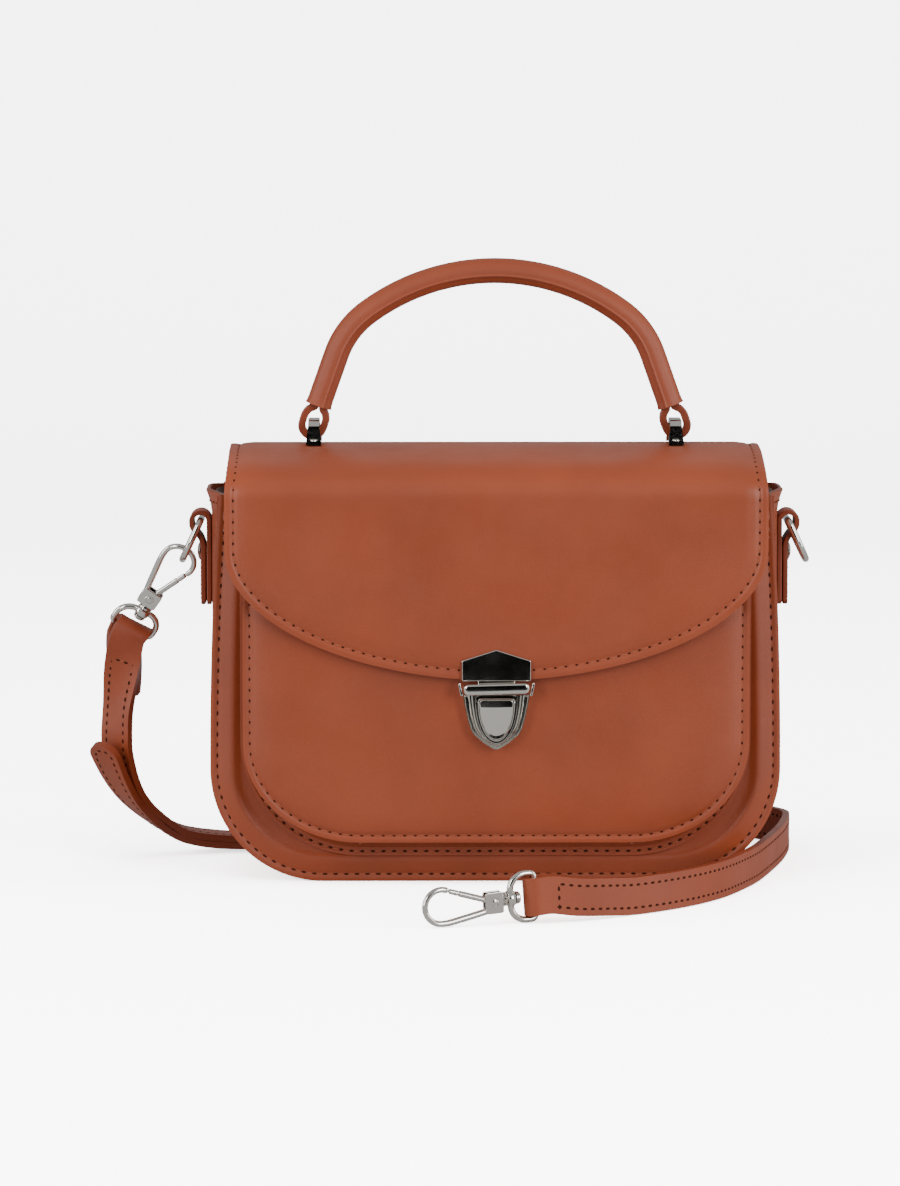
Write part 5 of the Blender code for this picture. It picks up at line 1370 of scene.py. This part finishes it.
class MakeSides(bpy.types.Operator):
    """Side tabs, their rivets and D-rings"""
    bl_idname = "bag.side_tabs"
    bl_label = "Side tabs and rings"

    def execute(self, context):
        metal = metal_finish()
        leather = strap_leather()
        for word, side in SIDES:
            inner, fold_z = TAB_INNER, TAB_FOLD[1]
            outer = inner + 2.3
            bottom = fold_z - TAB_HANG
            line = [(inner, bottom), (inner, bottom + 10), (inner, fold_z - 12.0), (inner, fold_z - 6.0)]
            line += arc(TAB_FOLD, 3.4, 180, -180, 14)
            line += [(TAB_FOLD[0] + 3.0, fold_z - 2.6), (outer + 1.2, fold_z - 6.2), (outer, fold_z - 9.6),
                     (outer, fold_z - 14.0), (outer, bottom + 10), (outer, bottom)]
            smooth = spaced(catmull([at(a, 0, b) for a, b in line], 4), 0.7)
            stations = [(at(side * p.x, 0, p.z), at(0, side, 0)) for p in smooth]
            piece = ribbon("leather_side_tab_" + word, stations, tab_half_width, 12)
            thickened(piece, 1.9, (leather, edge_finish()), edge=0.45, offset=0.0)
            settle(piece, "bag", "tan_leather", "side_tab_" + word)
            face = outer + 1.0
            row = [(at(side * face, y, z), at(side, 0, 0)) for y, z in TAB_SEAM]
            stitches("seam_side_tab_" + word, row, "bag", sizes().strap_pitch, hole_length=1.6)
            head = turned("side_rivet_" + word, SIDE_RIVET, at(side * (face + 0.2), 0, SIDE_RIVET_Z),
                          at(side, 0, 0), metal)
            settle(head, "bag", "polished_metal", "tab_rivet_" + word)
            points, up = ring_points(side)
            ring = wire("metal_side_ring_" + word, points, RING_WIRE, metal, up, closed=True, sides=16)
            settle(ring, "ring_" + word, "polished_metal", "side_ring_" + word)
        return {"FINISHED"}


def tab_half_width(distance, whole):
    """Half width of a side tab: square ends with small corners."""
    end = min(distance, whole - distance)
    return 7.2 - 1.4 * max(0.0, 1 - end / 1.4) ** 2


# ---------------------------------------------------------------- snap hooks

def square_axes(run, side):
    """Three square directions, the first along a run and the second near a side."""
    first = run.normalized()
    second = (side - first * side.dot(first)).normalized()
    return first, second, first.cross(second)


LEFT_BOSS = at(-137.579, 10.257, 100.651)
LEFT_RUN = at(0.530, -0.365, 0.763).normalized()
LEFT_GATE_SIDE = at(0.870, 0.0, -0.500)
LEFT_ACROSS = at(0.920, 0.200, -0.330)
RIGHT_BAR = at(12.8, -128.5, 10.2)
RIGHT_HEADING = 199.0
RIGHT_DIP = 3.7
SWIVEL_DEPTH = 9.5
SWIVEL_HALF = 8.6
SWIVEL_SHOULDER = 5.8
BOSS = ((-1.5, 1.6), (-1.5, 2.5), (-1.2, 2.9), (-0.6, 3.05), (0.6, 3.05), (1.2, 2.9), (1.5, 2.5), (1.5, 1.6),
        (-1.5, 1.6))
POST = ((-3.7, 0.0), (-3.7, 1.2), (-3.5, 1.9), (-3.0, 2.3), (-2.6, 2.3), (-2.5, 1.9), (-2.3, 1.9), (-2.2, 2.4),
        (-1.9, 2.4), (-1.75, 1.3), (1.8, 1.3), (1.9, 2.5), (2.3, 2.7), (2.7, 2.6), (2.8, 2.0), (3.4, 2.1),
        (3.4, 0.0))
PIN = ((-2.4, 0.0), (-2.35, 0.9), (-2.25, 1.1), (-2.03, 1.15), (-2.03, 1.35), (-2.2, 1.45), (-2.2, 1.75),
       (-2.0, 1.85), (-1.9, 1.0), (1.9, 1.0), (2.0, 1.85), (2.2, 1.75), (2.2, 1.45), (2.03, 1.35), (2.03, 1.15),
       (2.25, 1.1), (2.35, 0.9), (2.4, 0.0))
GATE = ((0.0, 0.0), (0.0, 0.8), (3.4, 0.85), (3.6, 1.15), (14.0, 1.15), (14.2, 0.8), (14.6, 0.8), (14.8, 1.05),
        (17.8, 1.0), (18.05, 0.7), (18.05, 0.0))
GATE_SEAT = (6.6, -0.5)
GATE_TILT = 19.2
HOOK_SPINE = ((5.0, -2.9), (8.0, -3.35), (12.0, -4.2), (20.0, -5.6), (24.5, -6.3))
CHEEK = ((3.3, -4.4), (4.2, -4.75), (9.6, -4.75), (10.3, -4.2), (10.3, 2.6), (9.8, 3.3), (4.0, 3.3), (3.3, 2.6))
WEB = ((3.3, -4.4), (4.2, -4.75), (9.6, -4.75), (10.2, -4.2), (10.2, -3.0), (4.4, -3.0), (4.3, 3.2), (3.3, 2.6))


def right_run():
    level = cos(radians(RIGHT_DIP))
    return at(cos(radians(RIGHT_HEADING)) * level, sin(radians(RIGHT_HEADING)) * level, -sin(radians(RIGHT_DIP)))


def right_boss():
    return RIGHT_BAR + right_run() * SWIVEL_DEPTH


def hook_parts(word, origin, axes, ring_axes, bodies):
    """One snap hook: wire ring with its boss, swivel post, body, gate and pin."""
    metal = metal_finish()
    swivel_body, hook_body, gate_body = bodies

    def put(u, v, n=0.0, frame_axes=axes):
        return origin + frame_axes[0] * u + frame_axes[1] * v + frame_axes[2] * n

    half, corner, shoulder = SWIVEL_HALF, 1.6, SWIVEL_SHOULDER
    line = arc((-shoulder, half - shoulder), shoulder, 0, 90, 14)
    line += arc((corner - SWIVEL_DEPTH, half - corner), corner, 90, 90, 6)
    line += arc((corner - SWIVEL_DEPTH, corner - half), corner, 180, 90, 6)
    line += arc((-shoulder, shoulder - half), shoulder, 270, 90, 14)
    line.append(line[0])
    points = spaced([put(u, v, 0.0, ring_axes) for u, v in line], 0.7)
    ring = wire(word + "_swivel_ring", points, 1.25, metal, ring_axes[2], closed=True)
    settle(ring, swivel_body, "polished_metal", word + "_hook_ring")
    boss = turned(word + "_swivel_boss", BOSS, origin, axes[0], metal)
    settle(boss, swivel_body, "polished_metal")
    post = turned(word + "_swivel_post", POST, origin, axes[0], metal)
    settle(post, hook_body, "polished_metal", word + "_hook_rivet")
    hook_cheeks(word, put, hook_body, metal)
    loop = arc((27.0, 0.0), 6.35, -92, 209.5, 34)
    points = spaced(catmull([put(u, v) for u, v in (*HOOK_SPINE, *loop)], 3), 0.6)
    lengths = running(points)

    def thick(part):
        return 1.28 - 0.15 * smooth_step(part, 0.35, 0.6) - 0.35 * smooth_step(part, 0.985, 1.0)

    body = wire(word + "_hook_loop", points, thick, metal, axes[2], sides=16)
    settle(body, hook_body, "polished_metal", word + "_hook_body")
    pin = turned(word + "_hook_rivet_head", PIN, put(*GATE_SEAT), axes[2], metal, 20)
    settle(pin, hook_body, "polished_metal", word + "_hook_pin")
    angle = radians(GATE_TILT)
    run = axes[0] * cos(angle) + axes[1] * sin(angle)
    gate = turned(word + "_hook_gate_rod", GATE, put(*GATE_SEAT), run, metal, 18)
    settle(gate, gate_body, "polished_metal", word + "_hook_gate")


def hook_cheeks(word, put, hook_body, metal):
    """The block that holds the gate: two cheeks with rounded corners and a web between them."""
    for name, outline, low, high, bevel in (("_hook_cheek_1", CHEEK, -2.0, -1.05, 0.28),
                                            ("_hook_cheek_2", CHEEK, 1.05, 2.0, 0.28),
                                            ("_hook_web", WEB, -1.3, 1.3, 0.1)):
        piece = slab(word + name, outline, low, high, bevel, metal)
        for vertex in piece.data.vertices:
            u, n, v = vertex.co / MM
            vertex.co = put(u, v, n) * MM
        merged(piece, recalculate=True)
        smoothed(piece, 30.0)
        settle(piece, hook_body, "polished_metal")


class MakeHooks(bpy.types.Operator):
    """Both snap hooks of the strap"""
    bl_idname = "bag.snap_hooks"
    bl_label = "Snap hooks"

    def execute(self, context):
        hook_parts("left", LEFT_BOSS, square_axes(LEFT_RUN, LEFT_GATE_SIDE), square_axes(LEFT_RUN, LEFT_ACROSS),
                   ("bag", "left_hook", "left_gate"))
        axes = square_axes(right_run(), at(0, 0, 1))
        hook_parts("right", right_boss(), axes, axes, ("right_swivel", "right_hook", "right_gate"))
        return {"FINISHED"}


# ---------------------------------------------------------------- strap

SHORT_ROUTE = ((-147.5, 15.2, 65.3, 37), (-148.5, 17.0, 50.1, 38), (-147.8, 19.0, 42.3, 42),
               (-144.4, 23.0, 30.8, 52), (-139.1, 28.0, 22.2, 62), (-129.9, 35.0, 13.8, 74),
               (-121.4, 40.5, 8.8, 82), (-105.3, 47.5, 5.8, 88), (-85.0, 50.5, 5.4, 90),
               (-62.0, 51.0, 6.5, 90))
BUCKLE_ROUTE = ((-26.0, 3.6), (-20.0, 6.0), (-14.1, 7.8), (-8.0, 6.7), (0.0, 4.0), (8.0, 2.2), (16.0, 1.7))
TWIST_ROUTE = ((30.0, 30), (45.0, 60), (60.0, 90))
EDGE_ROUTE = ((75.0, 51.0), (82.8, 54.2), (86.0, 62.0), (82.8, 69.8), (75.0, 73.0), (40.0, 73.0),
              (-40.0, 73.0), (-70.0, 73.0), (-77.8, 76.2), (-81.0, 84.0), (-77.8, 91.8), (-70.0, 95.0),
              (-40.0, 95.0), (40.0, 95.0), (80.0, 93.0), (97.0, 86.0), (109.5, 75.0), (116.1, 65.0),
              (118.4, 55.1), (116.2, 35.0), (111.8, 11.2), (103.3, -23.8), (97.4, -43.3), (86.6, -69.4),
              (76.8, -85.5), (67.3, -96.9), (57.9, -105.9), (48.7, -112.6))
LIFT_ROUTE = ((38.8, -120.3, 8.3), (28.9, -126.1, 9.2))
STRAP_BACK_Y = 51.0
HEEL = at(-30.0, STRAP_BACK_Y, 9.3)
FRONT_BAR = at(-14.1, STRAP_BACK_Y, 4.8)
FOLD = 3.0
BUCKLE_FOLD = 2.8


def strap_curve(stations, step):
    """Points and directions across on a smooth curve through (point, across) stations."""
    line = []
    last = len(stations) - 1
    for index in range(last):
        knots = [stations[min(max(index + shift, 0), last)] for shift in (-1, 0, 1, 2)]
        pieces = max(1, round((knots[2][0] - knots[1][0]).length / step))
        for piece in range(pieces):
            line.append(tuple(blend_knots(*[knot[k] for knot in knots], piece / pieces) for k in (0, 1)))
    line.append(stations[-1])
    return [(point, across.normalized()) for point, across in line]


def beside(line, index, distance):
    """The point at a distance square to the face of a strap."""
    run = heading([point for point, across in line[max(index - 1, 0):index + 2]], min(index, 1))
    return line[index][0] + run.cross(line[index][1]).normalized() * distance


def folded(line, radius, side, back_length):
    """A strap line with its first end turned round a bar and sewn back on itself."""
    points = [point for point, across in line]
    back = []
    for index, (distance, (point, across)) in enumerate(zip(running(points), line)):
        if distance > back_length:
            break
        gap = 2 * radius + (FOLDED_GAP - 2 * radius) * smooth_step(distance, 0.0, FOLD_TAPER)
        back.append((beside(line, index, gap * side), across))
    start, across = line[0]
    run = (points[1] - start).normalized()
    normal = run.cross(across).normalized() * side
    turn = [(start + normal * radius * (1 + a) + run * b * radius, across)
            for a, b in arc((0.0, 0.0), 1.0, 0, -180, 14)[1:-1]]
    return back[::-1] + turn + line


def short_line(step):
    """The short strap, from the left hook down to the floor and behind the bag to the buckle."""
    ring = square_axes(LEFT_RUN, LEFT_ACROSS)
    bar = LEFT_BOSS - ring[0] * SWIVEL_DEPTH
    across = ring[1]
    hang = at(-0.204, -0.030, -0.979)
    run = (hang - across * hang.dot(across)).normalized()
    start = bar + run.cross(across).normalized() * FOLD
    stations = [(start, across), (start + run * 6.0, across)]
    for x, y, z, turn in SHORT_ROUTE:
        stations.append((at(x, y, z), at(cos(radians(turn)), -sin(radians(turn)), 0)))
    flat = at(0, -1, 0)
    heel = at(HEEL.x, STRAP_BACK_Y, HEEL.z - BUCKLE_FOLD)
    stations += [(heel - at(8.0, 0, 0), flat), (heel, flat)]
    return strap_curve(stations, step)


def long_line(short, step):
    """The long strap, from its tongue through the buckle and round the bag to the right hook."""
    tongue = []
    for index, (point, across) in enumerate(short[:-1]):
        if point.z < 51.5:
            flare = max(0.0, (point.z - 22.0) / 29.5)
            tongue.append((beside(short, index, 2.8 + 7.6 * flare * flare), across))
    stations = tongue[::2]
    flat = at(0, -1, 0)
    for x, z in BUCKLE_ROUTE:
        stations.append((at(x, STRAP_BACK_Y, z), flat))
    for x, turn in TWIST_ROUTE:
        angle = radians(turn)
        low = 0.3 + sin(angle) * STRAP_WIDTH / 2 + cos(angle) * 1.4
        stations.append((at(x, STRAP_BACK_Y, low), at(0, -cos(angle), sin(angle))))
    upright = at(0, 0, 1)
    for x, y in EDGE_ROUTE:
        stations.append((at(x, y, 7.3), upright))
    axes = square_axes(right_run(), upright)
    run = -axes[0]
    start = RIGHT_BAR - axes[1].cross(run).normalized() * FOLD
    for x, y, z in LIFT_ROUTE:
        stations.append((at(x, y, z), upright))
    stations += [(start + run * 6.0, axes[1]), (start, axes[1])]
    return strap_curve(stations, step)


def even_line(line, pitch, tip=False):
    """A strap line at an even step, with close steps at a round tip."""
    lengths = running([point for point, across in line])
    spots = list(TIP_SPOTS) if tip else [0.0]
    first = spots[-1]
    rest = lengths[-1] - first
    count = round(rest / pitch)
    result = []
    for spot in spots + [first + rest * k / count for k in range(1, count + 1)]:
        index, part = spot_on(lengths, spot)
        (point, across), (next_point, next_across) = line[index], line[index + 1]
        result.append((point.lerp(next_point, part), across.lerp(next_across, part).normalized()))
    return result


def strap_rows(name, line, start, end, tip=False):
    """Sewing along both edges on both faces of a strap between two distances."""
    points = [point for point, across in line]
    lengths = running(points)
    for face_word, face in (("a", -1), ("b", 1)):
        rows = {-1: [], 1: []}
        for index, (point, across) in enumerate(line):
            distance = lengths[index]
            inset = STRAP_SEAM
            if tip and distance < TIP_LENGTH:
                inset *= sqrt(max(0.0, 1 - ((TIP_LENGTH - distance) / 4.4) ** 2))
            if not start <= distance <= end or tip and distance <= 2.6:
                continue
            normal = heading(points, index).cross(across).normalized() * face
            for edge, row in rows.items():
                row.append((point + across * edge * inset + normal * (STRAP_THICK / 2 - 0.05), normal))
        path = rows[-1][::-1] + rows[1] + rows[-1][-1:]
        stitches(name + "_" + face_word, path, "bag", sizes().strap_pitch, hole_length=1.9, thread_part=0.5)


class MakeStrap(bpy.types.Operator):
    """Both straps with buckle and keeper"""
    bl_idname = "bag.strap"
    bl_label = "Shoulder strap"

    def execute(self, context):
        leather = strap_leather()
        look = (leather, edge_finish())
        coarse = short_line(6.0)
        fine = folded(short_line(2.0), FOLD, -1.0, 29.0)
        both = folded(fine[::-1], BUCKLE_FOLD, 1.0, 15.0)[::-1]
        line = even_line(both, 1.6)
        piece = ribbon("leather_strap_short", line, end_width, 12)
        thickened(piece, STRAP_THICK, look, edge=0.7, offset=0.0)
        settle(piece, "bag", "tan_leather", "strap_short")
        total = running([p for p, a in line])[-1]
        strap_rows("seam_strap_short_end", line, 1.6, 20.0)
        strap_rows("seam_strap_short", line, 47.7, total - 25.0)
        long = folded(long_line(coarse, 2.0)[::-1], FOLD, -1.0, 29.0)[::-1]
        line = even_line(long, 1.6, tip=True)
        piece = ribbon("leather_strap_long", line, tongue_width, 12)
        thickened(piece, STRAP_THICK, look, edge=0.7, offset=0.0)
        settle(piece, "bag", "tan_leather", "strap_long")
        total = running([p for p, a in line])[-1]
        strap_rows("seam_strap_long", line, 2.6, total - 44.0, tip=True)
        strap_rows("seam_strap_long_end", line, total - 20.0, total - 1.6)
        self.buckle()
        self.holes(line)
        return {"FINISHED"}

    @staticmethod
    def holes(line):
        """Eyelet holes of the tongue, seen as dark rings in the leather: discs of painted shade set through the
        strap.
        """
        for number in range(1, 5):
            x = HEEL.x - 22.0 * number + 8.0
            index = min(range(len(line)), key=lambda k: (line[k][0] - at(x, STRAP_BACK_Y, FRONT_BAR.z)).length)
            normal = beside(line, index, 1.0) - line[index][0]
            # Each eyelet is a dark disc whose colour is painted shade
            piece = turned("strap_hole_shade_" + str(number), [(-1.5, 0.0), (-1.5, 1.2), (-1.42, 1.5), (-1.34, 1.55),
                                                         (1.34, 1.55), (1.42, 1.5), (1.5, 1.2), (1.5, 0.0)],
                           line[index][0], normal, hole_shade_finish(), 16)
            settle(piece, "bag", "tan_leather")

    @staticmethod
    def buckle():
        """Wire frame, prong and leather keeper behind the bag."""
        metal = metal_finish()
        half, corner = 9.0, 2.2
        length = (FRONT_BAR - HEEL).length
        axes = square_axes(FRONT_BAR - HEEL, at(0, 1, 0))
        line = []
        for u, v, turn in ((length - corner, half - corner, 0), (corner, half - corner, 90),
                           (corner, corner - half, 180), (length - corner, corner - half, 270)):
            line += arc((u, v), corner, turn, 90, 6)
        line.append(line[0])
        points = spaced([HEEL + axes[0] * u + axes[1] * v for u, v in line], 0.8)
        piece = wire("metal_buckle_frame", points, 1.1, metal, axes[2], closed=True)
        settle(piece, "bag", "polished_metal", "strap_buckle")
        start_turn, whole = -50.0, 290.0
        eye = [HEEL + at(a, 0, b) for a, b in arc((0, 0), 2.1, start_turn - whole, whole, 24)]
        start = HEEL + at(2.1 * cos(radians(-50)), 0, 2.1 * sin(radians(-50)))
        under = at(FRONT_BAR.x, STRAP_BACK_Y, FRONT_BAR.z - 2.3 * 1.15)
        end = start + (under - start) * 1.08
        piece = wire("metal_buckle_prong", spaced(eye + [end], 0.6),
                     lambda part: 0.8 - 0.25 * smooth_step(part, 0.93, 1.0), metal, at(0, 1, 0), sides=12)
        settle(piece, "bag", "polished_metal", "strap_buckle_prong")
        low = HEEL.z - BUCKLE_FOLD - FOLDED_GAP - 1.4 - 0.3
        high = HEEL.z - BUCKLE_FOLD + 1.4 + 0.3
        reach = 7.2
        path = []
        for cy, cz, start_angle in ((reach, high - 0.2, 0), (-reach, high - 0.2, 90), (-reach, low + 0.2, 180),
                                    (reach, low + 0.2, 270)):
            path += [at(-52.0, STRAP_BACK_Y + a, b) for a, b in arc((cy, cz), 0.9, start_angle, 90, 5)]
        path.append(path[0])
        stations = [(p, at(-1, 0, 0)) for p in spaced(path, 0.7)]
        keeper = ribbon("leather_strap_keeper", stations, lambda d, w: 4.0, 6)
        merged(keeper)
        thickened(keeper, 1.5, (strap_leather(), edge_finish()), edge=0.4, offset=0.0)
        settle(keeper, "bag", "tan_leather", "strap_keeper")


def end_width(distance, whole):
    """Half width of the short strap, with small corners at its sewn ends."""
    end = min(distance, whole - distance)
    return STRAP_WIDTH / 2 - 1.2 * max(0.0, 1 - end / 1.2) ** 2


def tongue_width(distance, whole):
    """Half width of the long strap, with a round tongue tip."""
    if distance < 7.0:
        return max(0.02, 7.0 * sqrt(max(0.0, 1 - ((7.0 - distance) / 7.0) ** 2)))
    return end_width(max(distance, 5.0), whole)


# ---------------------------------------------------------------- stage

def flat_finish(name, tone, glow):
    """A matt, faintly speckled surface of the set, with a glow of its own."""
    made = bpy.data.materials.new(name)
    made.use_nodes = True
    tree = made.node_tree
    tree.nodes.clear()
    speck = noise_node(tree, 3.0, 2.0, object_place(tree))
    matt = add_node(tree, "BsdfDiffuse", {"Color": two_tone(tree, speck, [tone * 0.99] * 3, [tone * 1.01] * 3)})
    light = add_node(tree, "Emission", {"Strength": glow})
    both = add_node(tree, "AddShader", {0: matt.outputs[0], 1: light.outputs[0]})
    add_node(tree, "OutputMaterial", {"Surface": both.outputs[0]})
    return made


CAMERA_PLACE = at(-35.6, -2100.9, 330.0)
CAMERA_AIM = at(-17.5, -31.0, 112.0)
CAMERA_LENS = 164.3
FLOOR_WIDTH = 9000.0
FLOOR_REACH = 7600.0
FLOOR_FRONT_Y = -3200.0
FLOOR_BEND_Y = 1600.0
FLOOR_BEND = 1000.0


def soft_light(name, place, aim, width, height, power):
    """A rectangular soft light that faces its aim."""
    light = bpy.data.lights.new(name, "AREA")
    light.shape = "RECTANGLE"
    light.size = width * MM
    light.size_y = height * MM
    light.energy = power
    lamp = bpy.data.objects.new(name, light)
    bpy.context.scene.collection.objects.link(lamp)
    lamp.location = place * MM
    lamp.rotation_euler = (aim - place).to_track_quat("-Z", "Y").to_euler()
    return lamp


class MakeStage(bpy.types.Operator):
    """Pale floor, soft studio light and the camera"""
    bl_idname = "bag.stage"
    bl_label = "Stage"

    def execute(self, context):
        scene = context.scene
        camera_data = bpy.data.cameras.new("photo_camera")
        camera_data.lens = CAMERA_LENS
        camera_data.sensor_width = 36.0
        camera_data.clip_end = 50.0
        camera = bpy.data.objects.new("photo_camera", camera_data)
        scene.collection.objects.link(camera)
        camera.location = CAMERA_PLACE * MM
        camera.rotation_euler = (CAMERA_AIM - CAMERA_PLACE).to_track_quat("-Z", "Y").to_euler()
        scene.camera = camera
        self.floor()
        self.card()
        aim = at(0, -30, 90)
        top_light = soft_light("top_light", at(-200, -800, 1800), at(0, 0, 60), 1500, 1000, 11)
        top_light.visible_glossy = False
        soft_light("left_light", at(-1300, -1850, 750), aim, 600, 1400, 16)
        soft_light("right_light", at(1300, -1850, 750), aim, 600, 1400, 20)
        soft_light("left_rim", at(-1600, -350, 500), aim, 400, 1200, 9)
        soft_light("right_rim", at(1600, -350, 500), aim, 400, 1200, 11)
        soft_light("back_light", at(0, 1300, 1300), at(0, 0, 150), 1500, 600, 1)
        world = bpy.data.worlds.new("studio")
        world.use_nodes = True
        back = world.node_tree.nodes["Background"]
        back.inputs["Color"].default_value = (1.0, 1.0, 1.0, 1.0)
        back.inputs["Strength"].default_value = 0.45
        scene.world = world
        return {"FINISHED"}

    @staticmethod
    def floor():
        """A pale sweep for the camera and, just under it, the one that sends light back to the bag."""
        for name, low, tone, glow, shown in (("studio_floor", 0.0, 6.2, 1.6, True),
                                             ("bounce_floor", -0.5, 0.5, 0.0, False)):
            def place(across, along):
                x = (across - 0.5) * FLOOR_WIDTH
                past = along * FLOOR_REACH + FLOOR_FRONT_Y - FLOOR_BEND_Y
                turn = min(max(past / FLOOR_BEND, 0.0), pi / 2)
                rest = max(past - FLOOR_BEND * pi / 2, 0.0)
                return at(x, FLOOR_BEND_Y + min(past, 0.0) + FLOOR_BEND * sin(turn),
                          low + FLOOR_BEND * (1 - cos(turn)) + rest)
            piece = shaped_grid(name, 12, 110, place)
            smoothed(piece, 60.0)
            coated(piece, flat_finish(name + "_finish", tone, glow))
            piece.visible_camera = shown
            piece.visible_diffuse = not shown
            piece.visible_glossy = not shown
            piece.visible_shadow = False

    @staticmethod
    def card():
        """Dark cards that only polished surfaces see, as in a product studio."""
        made = flat_finish("Dark card", 0.002, 0.0)
        for name, corner, rise in (("low_card", at(-900, -440, 4), at(0, -1860, 0)),
                                   ("rear_card", at(-1100, -2400, 0), at(0, 0, 1000))):
            piece = shaped_grid(name, 2, 2, lambda across, along: corner + at(-2 * corner.x, 0, 0) * across
                                + rise * along)
            coated(piece, made)
            for ray in ("camera", "diffuse", "shadow", "transmission"):
                setattr(piece, "visible_" + ray, False)


# ---------------------------------------------------------------- add-on

class BagPanel(bpy.types.Panel):
    """Lists the bag's operators and settings"""
    bl_idname = "VIEW3D_PT_bag"
    bl_label = "Crossbody bag"
    bl_space_type = "VIEW_3D"
    bl_region_type = "UI"
    bl_category = "Bag"

    def draw(self, context):
        layout = self.layout
        for operator in OPERATORS:
            layout.operator(operator.bl_idname)
        for group in (context.scene.bag_sizes, context.scene.bag_colours):
            for name in group.__annotations__:
                layout.prop(group, name)


OPERATORS = (MakeBody, MakeLining, MakePocket, MakeFlap, MakeLock, MakeHandle, MakeSides, MakeHooks, MakeStrap,
             MakeStage)
CLASSES = (BagSizes, BagColours, *OPERATORS, BagPanel)


def register():
    for cls in CLASSES:
        bpy.utils.register_class(cls)
    bpy.types.Scene.bag_sizes = bpy.props.PointerProperty(type=BagSizes)
    bpy.types.Scene.bag_colours = bpy.props.PointerProperty(type=BagColours)


def unregister():
    del bpy.types.Scene.bag_colours
    del bpy.types.Scene.bag_sizes
    for cls in reversed(CLASSES):
        bpy.utils.unregister_class(cls)


def main():
    """Build everything in order."""
    register()
    for operator in OPERATORS:
        step = operator.bl_idname.split(".")[1]
        if getattr(bpy.ops.bag, step)() != {"FINISHED"}:
            raise RuntimeError(operator.bl_idname + " didn't finish")
    deselect()


if __name__ == "__main__":
    main()
